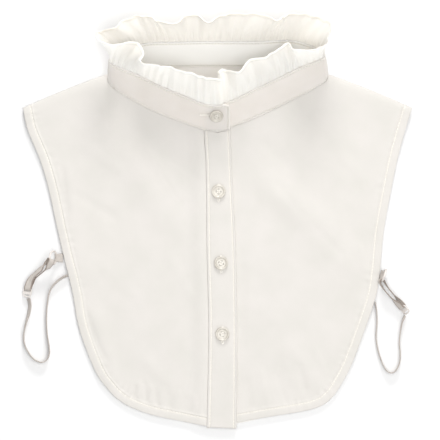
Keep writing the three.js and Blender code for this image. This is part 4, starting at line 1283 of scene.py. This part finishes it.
# Each strap: the ring at the front's edge, its tab, the slider, and the elastic's x, y and
# roll (0 lying flat, 90 on its edge) down to the back's side.
STRAPS = {
    "left": {
        "sign": -1,
        "ring": (-139.6, -30.6),
        "ring_along": (0.05, 1),
        "ring_lean": 58,
        "tab_reach": 5.45,
        "strap_at": 128,
        "leaves": (-0.5, -0.85, -0.2),
        "roll": 52,
        "slider": (-161.7, -60.2, 3.12),
        "heading": -100,
        "tilt": 12,
        "elastic": [
            (-160.7, -65.1, 62), (-159.9, -68, 65), (-159.5, -72.4, 65),
            (-160.6, -78.8, 68), (-163, -87, 80), (-164.6, -96, 90),
            (-164, -104, 90), (-160.6, -111.4, 90), (-156, -117, 90),
            (-150, -119.6, 90), (-145.4, -117.8, 90), (-142.8, -112.2, 90),
            (-143.1, -106, 90), (-144.6, -96, 90), (-145.3, -84.6, 90),
            (-144.9, -73.2, 90), (-143.5, -62.8, 88), (-140.8, -56.1, 84),
            (-136, -50.8, 78), (-131, -47.4, 75), (-127.1, -45.8, 74),
        ],
    },
    "right": {
        "sign": 1,
        "ring": (141.1, -45.8),
        "ring_along": (0.347, 0.938),
        "ring_lean": 84,
        "tab_reach": 2.4,
        "strap_at": 172,
        "leaves": (0.42, -0.9, -0.1),
        "roll": 90,
        "slider": (159.1, -75, 4),
        "heading": -50,
        "tilt": 46,
        "elastic": [
            (159.3, -79.8, 76), (157.5, -83.6, 80), (156.3, -88, 86),
            (155.2, -94.8, 90), (154.4, -103.6, 90), (155.2, -111, 90),
            (155, -118.4, 90), (153, -124.2, 90), (150.4, -127.6, 90),
            (147.4, -128.6, 90), (143.8, -126.8, 90), (140.8, -122, 90),
            (138.2, -115.4, 90), (135.6, -105.8, 90), (134.6, -97, 90),
            (135.5, -86, 90), (135.2, -77, 90), (134, -68.2, 90),
        ],
    },
}
LOOP_OUTER = WIRE_RADIUS + GAP + TAB_WALL


def ring_frame(strap):
    """The ring's frame: X along the panel's edge and Y up across the ring; lengths in mm."""
    along = Vector((*strap["ring_along"], 0)).normalized()
    level = Vector((-along.y, along.x, 0)) * -strap["sign"]
    lean = math.radians(strap["ring_lean"])
    up = level * math.cos(lean) + Vector((0, 0, math.sin(lean)))
    height = LOOP_OUTER + 0.05 + RING_RADIUS * math.sin(lean)
    turn = Matrix((along, up, along.cross(up))).transposed().to_4x4()
    return Matrix.Translation((*strap["ring"], height)) @ turn


def torus(radius, wire_radius, steps):
    made = bmesh.new()
    wire = bmesh.ops.create_circle(
        made, segments=16, radius=wire_radius,
        matrix=Matrix.Translation((radius, 0, 0)) @ Matrix.Rotation(math.pi / 2, 4, "X"),
    )["verts"]
    spun(made, wire + list({edge for vert in wire for edge in vert.link_edges}), steps, 0.001)
    return made


def ring(side, material):
    """The round wire ring between the tab and the doubled strap."""
    place = ring_frame(STRAPS[side])
    made = torus(RING_RADIUS, WIRE_RADIUS, 64)
    bmesh.ops.recalc_face_normals(made, faces=made.faces)
    bmesh.ops.transform(made, verts=made.verts, matrix=Matrix.Scale(MM, 4) @ place)
    mesh = mesh_of(made, f"strap_ring_{side}_wire")
    return finished(mesh.name, mesh, material, [f"strap_ring_{side}"])


def ribbon(name, middle, half, length, columns, material, nodes, selvage_shade_strength):
    """A flat elastic. middle(t) gives its centre line and the directions across and through;
    the last argument says how strongly its selvages are painted brown, as painted shade."""
    across_lines = np.array([-1, -0.97, -0.88, -0.6, -0.3, 0, 0.3, 0.6, 0.88, 0.97, 1])
    rows = len(across_lines) - 1
    wide = STRAP_WIDTH / 2

    def faces(i, j):
        centre, across, through_it = middle(i / columns)
        share = across_lines[j]
        thick = half * np.maximum(rounded((1 - np.abs(share)) * wide, half), 0.08)
        thick = np.where((i == 0) | (i == columns), thick * 0.5, thick)
        place = centre + across * (share * wide)[:, None]
        # Painted shade: the share of brown colour at the selvages.
        painted_selvage_shade = selvage_shade_strength * smooth((np.abs(share) - 0.7) / 0.25)
        return place + through_it * thick[:, None], place - through_it * thick[:, None], painted_selvage_shade

    def cut(i, j):
        return np.stack([i / columns * length, across_lines[j] * wide], axis=-1)

    return shell(name, columns, rows, faces, cut, material, nodes)


TAB_HALF_WIDTH = 3.9
TAB_HALF_WALL = 0.28
TAB_LAYERS = (0.35, 1.05)  # the heights of its two ends, one on the other


def tab(side, material):
    """The tab: a short tape from under the front's edge, round the ring's wire and back."""
    strap = STRAPS[side]
    place = ring_frame(strap)
    along = Vector((*strap["ring_along"], 0)).normalized()
    inward = Vector((-along.y, along.x, 0)) * strap["sign"]
    half_arc = math.radians(36)
    wrap = WIRE_RADIUS + 0.45
    columns, rows = 44, 14

    def centre_of(share):
        angle = share * half_arc
        flat = np.stack([np.sin(angle), -np.cos(angle), 0 * angle]) * RING_RADIUS
        return (np.array(place.to_3x3()) @ flat).T + np.array(place.translation)

    reach = strap["tab_reach"]
    inward, along = np.array(inward), np.array(along)
    base = centre_of(np.zeros(1))[0]

    def middle(t, share):
        wire = centre_of(share)
        stem = base + along * (share * TAB_HALF_WIDTH)[:, None]
        turn = np.radians(mix(-90, -270, np.clip((t - 0.35) / 0.3, 0, 1)))
        round_it = wire + wrap * (np.cos(turn)[:, None] * inward + np.sin(turn)[:, None] * UP)
        low, high = (stem + inward * reach for _ in range(2))
        low[:, 2], high[:, 2] = TAB_LAYERS
        first = smooth(t / 0.35)[:, None]
        last = smooth((t - 0.65) / 0.35)[:, None]
        return np.where((t < 0.35)[:, None], mix(low, round_it, first), mix(round_it, high, last))

    def faces(i, j):
        t, share = i / columns, j / rows * 2 - 1
        step = 1e-3
        du = middle(np.clip(t + step, 0, 1), share) - middle(np.clip(t - step, 0, 1), share)
        dv = middle(t, share + step) - middle(t, share - step)
        normal = unit(np.cross(du, dv))
        from_edge = (1 - np.abs(share)) * TAB_HALF_WIDTH
        half = TAB_HALF_WALL * np.maximum(rounded(from_edge, TAB_HALF_WALL), 0.1)
        centre = middle(t, share)
        return centre + normal * half[:, None], centre - normal * half[:, None], 0

    def cut(i, j):
        return np.stack([i / columns * 16, (j / rows - 0.5) * 8], axis=-1)

    name = f"strap_tab_{side}"
    return shell(name + "_tape", columns, rows, faces, cut, material, [name])


def strap_route(strap):
    """The doubled strap's way from the ring's wire to the slider's near bar: its control
    points, its width's direction at the ring, and level and along at the slider."""
    place = ring_frame(strap)
    angle = math.radians(strap["strap_at"])
    start = place @ Vector((RING_RADIUS * math.cos(angle), RING_RADIUS * math.sin(angle), 0))
    arm = place.to_3x3() @ Vector((-math.sin(angle), math.cos(angle), 0))
    heading = math.radians(strap["heading"])
    arrives = Vector((math.cos(heading), math.sin(heading), 0))
    end = Vector(strap["slider"]) - arrives * (SLIDER_LENGTH - SLIDER_RIM) / 2
    level = Vector((-arrives.y, arrives.x, 0))
    if arm.dot(level * math.cos(math.radians(strap["roll"])) + Vector((0, 0, 1))) < 0:
        arm = -arm
    third = (end - start).length / 3
    leaves = Vector(strap["leaves"]).normalized()
    control = np.array([start, start + leaves * third, end - arrives * third, end])
    return control, np.array(arm), np.array(level), np.array(arrives)


DOUBLED_LENGTH = 70  # of the doubled elastic, unrolled
SINGLE_LENGTH = 130
LEAVES_RING = 0.35  # share of the route over which the strap rolls off the ring's wire
MEETS_SLIDER = (0.55, 0.94)  # and those between which it turns to the slider's bar


def doubled_strap(side, material):
    """The doubled strap: out along one side, round the slider's bar, back and round the wire.
    Its lower strand stands on its edge."""
    strap = STRAPS[side]
    control, arm, level, _ = strap_route(strap)
    half_at_ring = WIRE_RADIUS + 2 * GAP + STRAP_WALL / 2
    half_at_bar = SLIDER_WALL / 2 + 1.5 * GAP + STRAP_WALL / 2
    straight, bend = 0.4, 0.1  # shares of the loop's length

    def width_at(t, on_edge, heading):
        meets = smooth((t - MEETS_SLIDER[0]) / (MEETS_SLIDER[1] - MEETS_SLIDER[0]))
        turn = np.radians(mix(mix(strap["roll"], 90, on_edge), strap["tilt"], meets))[:, None]
        across = level * np.cos(turn) + UP * np.sin(turn)
        width = mix(arm, across, smooth(t / LEAVES_RING)[:, None])
        return unit(width - heading * (width * heading).sum(axis=1)[:, None])

    def middle(share):
        p = (share + 0.25) % 1.0
        out, at_bar = p < straight, (p >= straight) & (p < straight + bend)
        at_ring = p >= 2 * straight + bend
        back = ~(out | at_bar | at_ring)
        t = np.select([out, at_bar, back], [p / straight, 1, 1 - (p - straight - bend) / straight], 0)
        turn = np.select([at_bar, at_ring], [p - straight, p - 2 * straight - bend], 0) / bend * np.pi
        sided = np.select([out, at_bar, back], [1, np.cos(turn), -1], -np.cos(turn))
        over = np.select([at_bar, at_ring], [np.sin(turn), -np.sin(turn)], 0)[:, None]
        w = t[:, None]
        a, b, c, d = control
        point = a * (1 - w) ** 3 + 3 * b * w * (1 - w) ** 2 + 3 * c * w**2 * (1 - w) + d * w**3
        heading = unit(3 * (b - a) * (1 - w) ** 2 + 6 * (c - b) * w * (1 - w) + 3 * (d - c) * w**2)
        width = width_at(t, (1 - sided) / 2, heading)
        lift = np.cross(heading, width_at(t, 0 * t, heading))
        half = mix(half_at_ring, half_at_bar, smooth(t))[:, None]
        centre = point + heading * over * half + lift * sided[:, None] * half
        outward = np.cross(heading, width) * sided[:, None] + heading * over
        return centre, width, unit(outward)

    return ribbon(
        f"strap_loop_{side}_elastic", middle, STRAP_WALL / 2 - 0.05, DOUBLED_LENGTH, 150, material,
        [f"strap_loop_{side}"], 1.0,
    )


def elastic(side, material):
    """The single elastic: it rolls from lying flat to standing on its edge."""
    table = STRAPS[side]["elastic"]
    rows = np.column_stack([np.arange(len(table)), np.array(table)])
    last = len(table) - 1

    def centre_line(k):
        turn = np.radians(along_table(rows, 3, k))
        lowest = STRAP_WIDTH / 2 * np.sin(turn) + STRAP_WALL / 2 * np.cos(turn)
        return np.column_stack([along_table(rows, 1, k), along_table(rows, 2, k), lowest + 0.02]), turn

    def middle(share):
        k = share * last
        centre, turn = centre_line(k)
        ahead, _ = centre_line(np.minimum(k + 0.01, last))
        behind, _ = centre_line(np.maximum(k - 0.01, 0))
        along = ahead - behind
        along[:, 2] = 0
        along = unit(along)
        level = np.stack([-along[:, 1], along[:, 0], 0 * turn], axis=-1)
        across = level * np.cos(turn)[:, None] + UP * np.sin(turn)[:, None]
        thick = level * -np.sin(turn)[:, None] + UP * np.cos(turn)[:, None]
        return centre, across, thick

    return ribbon(
        f"strap_elastic_{side}_braid", middle, STRAP_WALL / 2 - 0.05, SINGLE_LENGTH, 180, material,
        [f"strap_elastic_{side}"], 0.3,
    )


RADIUS_BEFORE = 4  # of the slider's frame while it is still round


def slider(side, material):
    """A moulded slider: a rounded frame and the bar across its middle, in one piece."""
    level, arrives = (Vector(v) for v in strap_route(STRAPS[side])[2:])
    tilt = math.radians(STRAPS[side]["tilt"])
    place = frame_of(
        STRAPS[side]["slider"], arrives, level * math.cos(tilt) + Vector((0, 0, math.sin(tilt)))
    )
    reach = np.array([SLIDER_LENGTH - SLIDER_RIM, SLIDER_WIDTH - SLIDER_RAIL]) / 2
    made = torus(RADIUS_BEFORE, 1, 96)
    for vert in made.verts:
        x, y, rise = vert.co
        off = math.hypot(x, y) - RADIUS_BEFORE
        ray = np.array([x, y]) / math.hypot(x, y)
        squared = (abs(off) ** 3 + abs(rise) ** 3) ** (1 / 3)
        path = ray / ((np.abs(ray) / reach) ** SLIDER_SQUARE).sum() ** (1 / SLIDER_SQUARE)
        out = unit(np.sign(path) * (np.abs(path) / reach) ** (SLIDER_SQUARE - 1) / reach)
        half = mix(SLIDER_RAIL, SLIDER_RIM, out[0] ** 2) / 2
        vert.co = (*(path + out * off / squared * half), rise / squared * SLIDER_WALL / 2)
    first = SLIDER_LENGTH / 2 - SLIDER_RIM - SLIDER_SLOTS[0]
    last = SLIDER_LENGTH / 2 - SLIDER_RIM - SLIDER_SLOTS[1]
    bar = bmesh.ops.create_cube(
        made, size=1,
        matrix=Matrix.Translation(((last - first) / 2, 0, 0))
        @ Matrix.Diagonal((first + last, 2 * reach[1], SLIDER_WALL - 0.1, 1)),
    )["verts"]
    bmesh.ops.bevel(
        made, geom=list({edge for vert in bar for edge in vert.link_edges}), offset=0.4,
        segments=4, affect="EDGES", profile=0.5,
    )
    bmesh.ops.recalc_face_normals(made, faces=made.faces)
    bmesh.ops.transform(made, verts=made.verts, matrix=place @ Matrix.Scale(MM, 4))
    mesh = mesh_of(made, f"strap_slider_{side}_moulded")
    return finished(mesh.name, mesh, material, [f"strap_slider_{side}"])


# ---------------------------------------------------------------- the whole collar

add_camera()
add_studio()

panel_cloth = shirting("plain_woven_shirting", "d6d2cd", "d1cec8", "d6d2cd", 0.5, 0.0, 0.15)
# Painted light: the back's upper face, seen only down the neck, is coloured far lighter than the panels'
# cloth; its underside keeps the cloth's colour.
back_painted_light_cloth = shirting("plain_woven_shirting_painted_light", "fdfbf7", "f8f5f0", "d6d2cd", 0.5, 0.0, 0.15)
# Painted light: the band is coloured lighter than the panels' cloth, and its neck-side face lighter still.
band_cloth = shirting("interfaced_shirting", "e0dbd6", "dad5cf", "fbf7f1", 0.5, 1.0, 0.15)
# Painted light: the ruffle is coloured lighter than the panels' cloth; painted shade: its neck-side face
# is darker.
sheer_cloth = shirting("thin_voile_shirting", "fbf5ea", "f6efe3", "d7d2c9", 0.45, 1.0, 0.9)
thread = sewing_thread()
pearl = pearl_button()
braid = knitted_elastic()
coated = nylon_coated_wire()

back_piece = back(back_painted_light_cloth)
front_pieces = [front(name, panel_cloth, thread) for name in FRONTS]
placket_piece = placket(panel_cloth, thread)
band_piece = band(band_cloth, thread)
ruffle_piece = ruffle(sheer_cloth)
buttons(pearl, thread)
buttonholes(thread)
for side in STRAPS:
    tab(side, braid)
    ring(side, coated)
    slider(side, coated)
    doubled_strap(side, braid)
    elastic(side, braid)
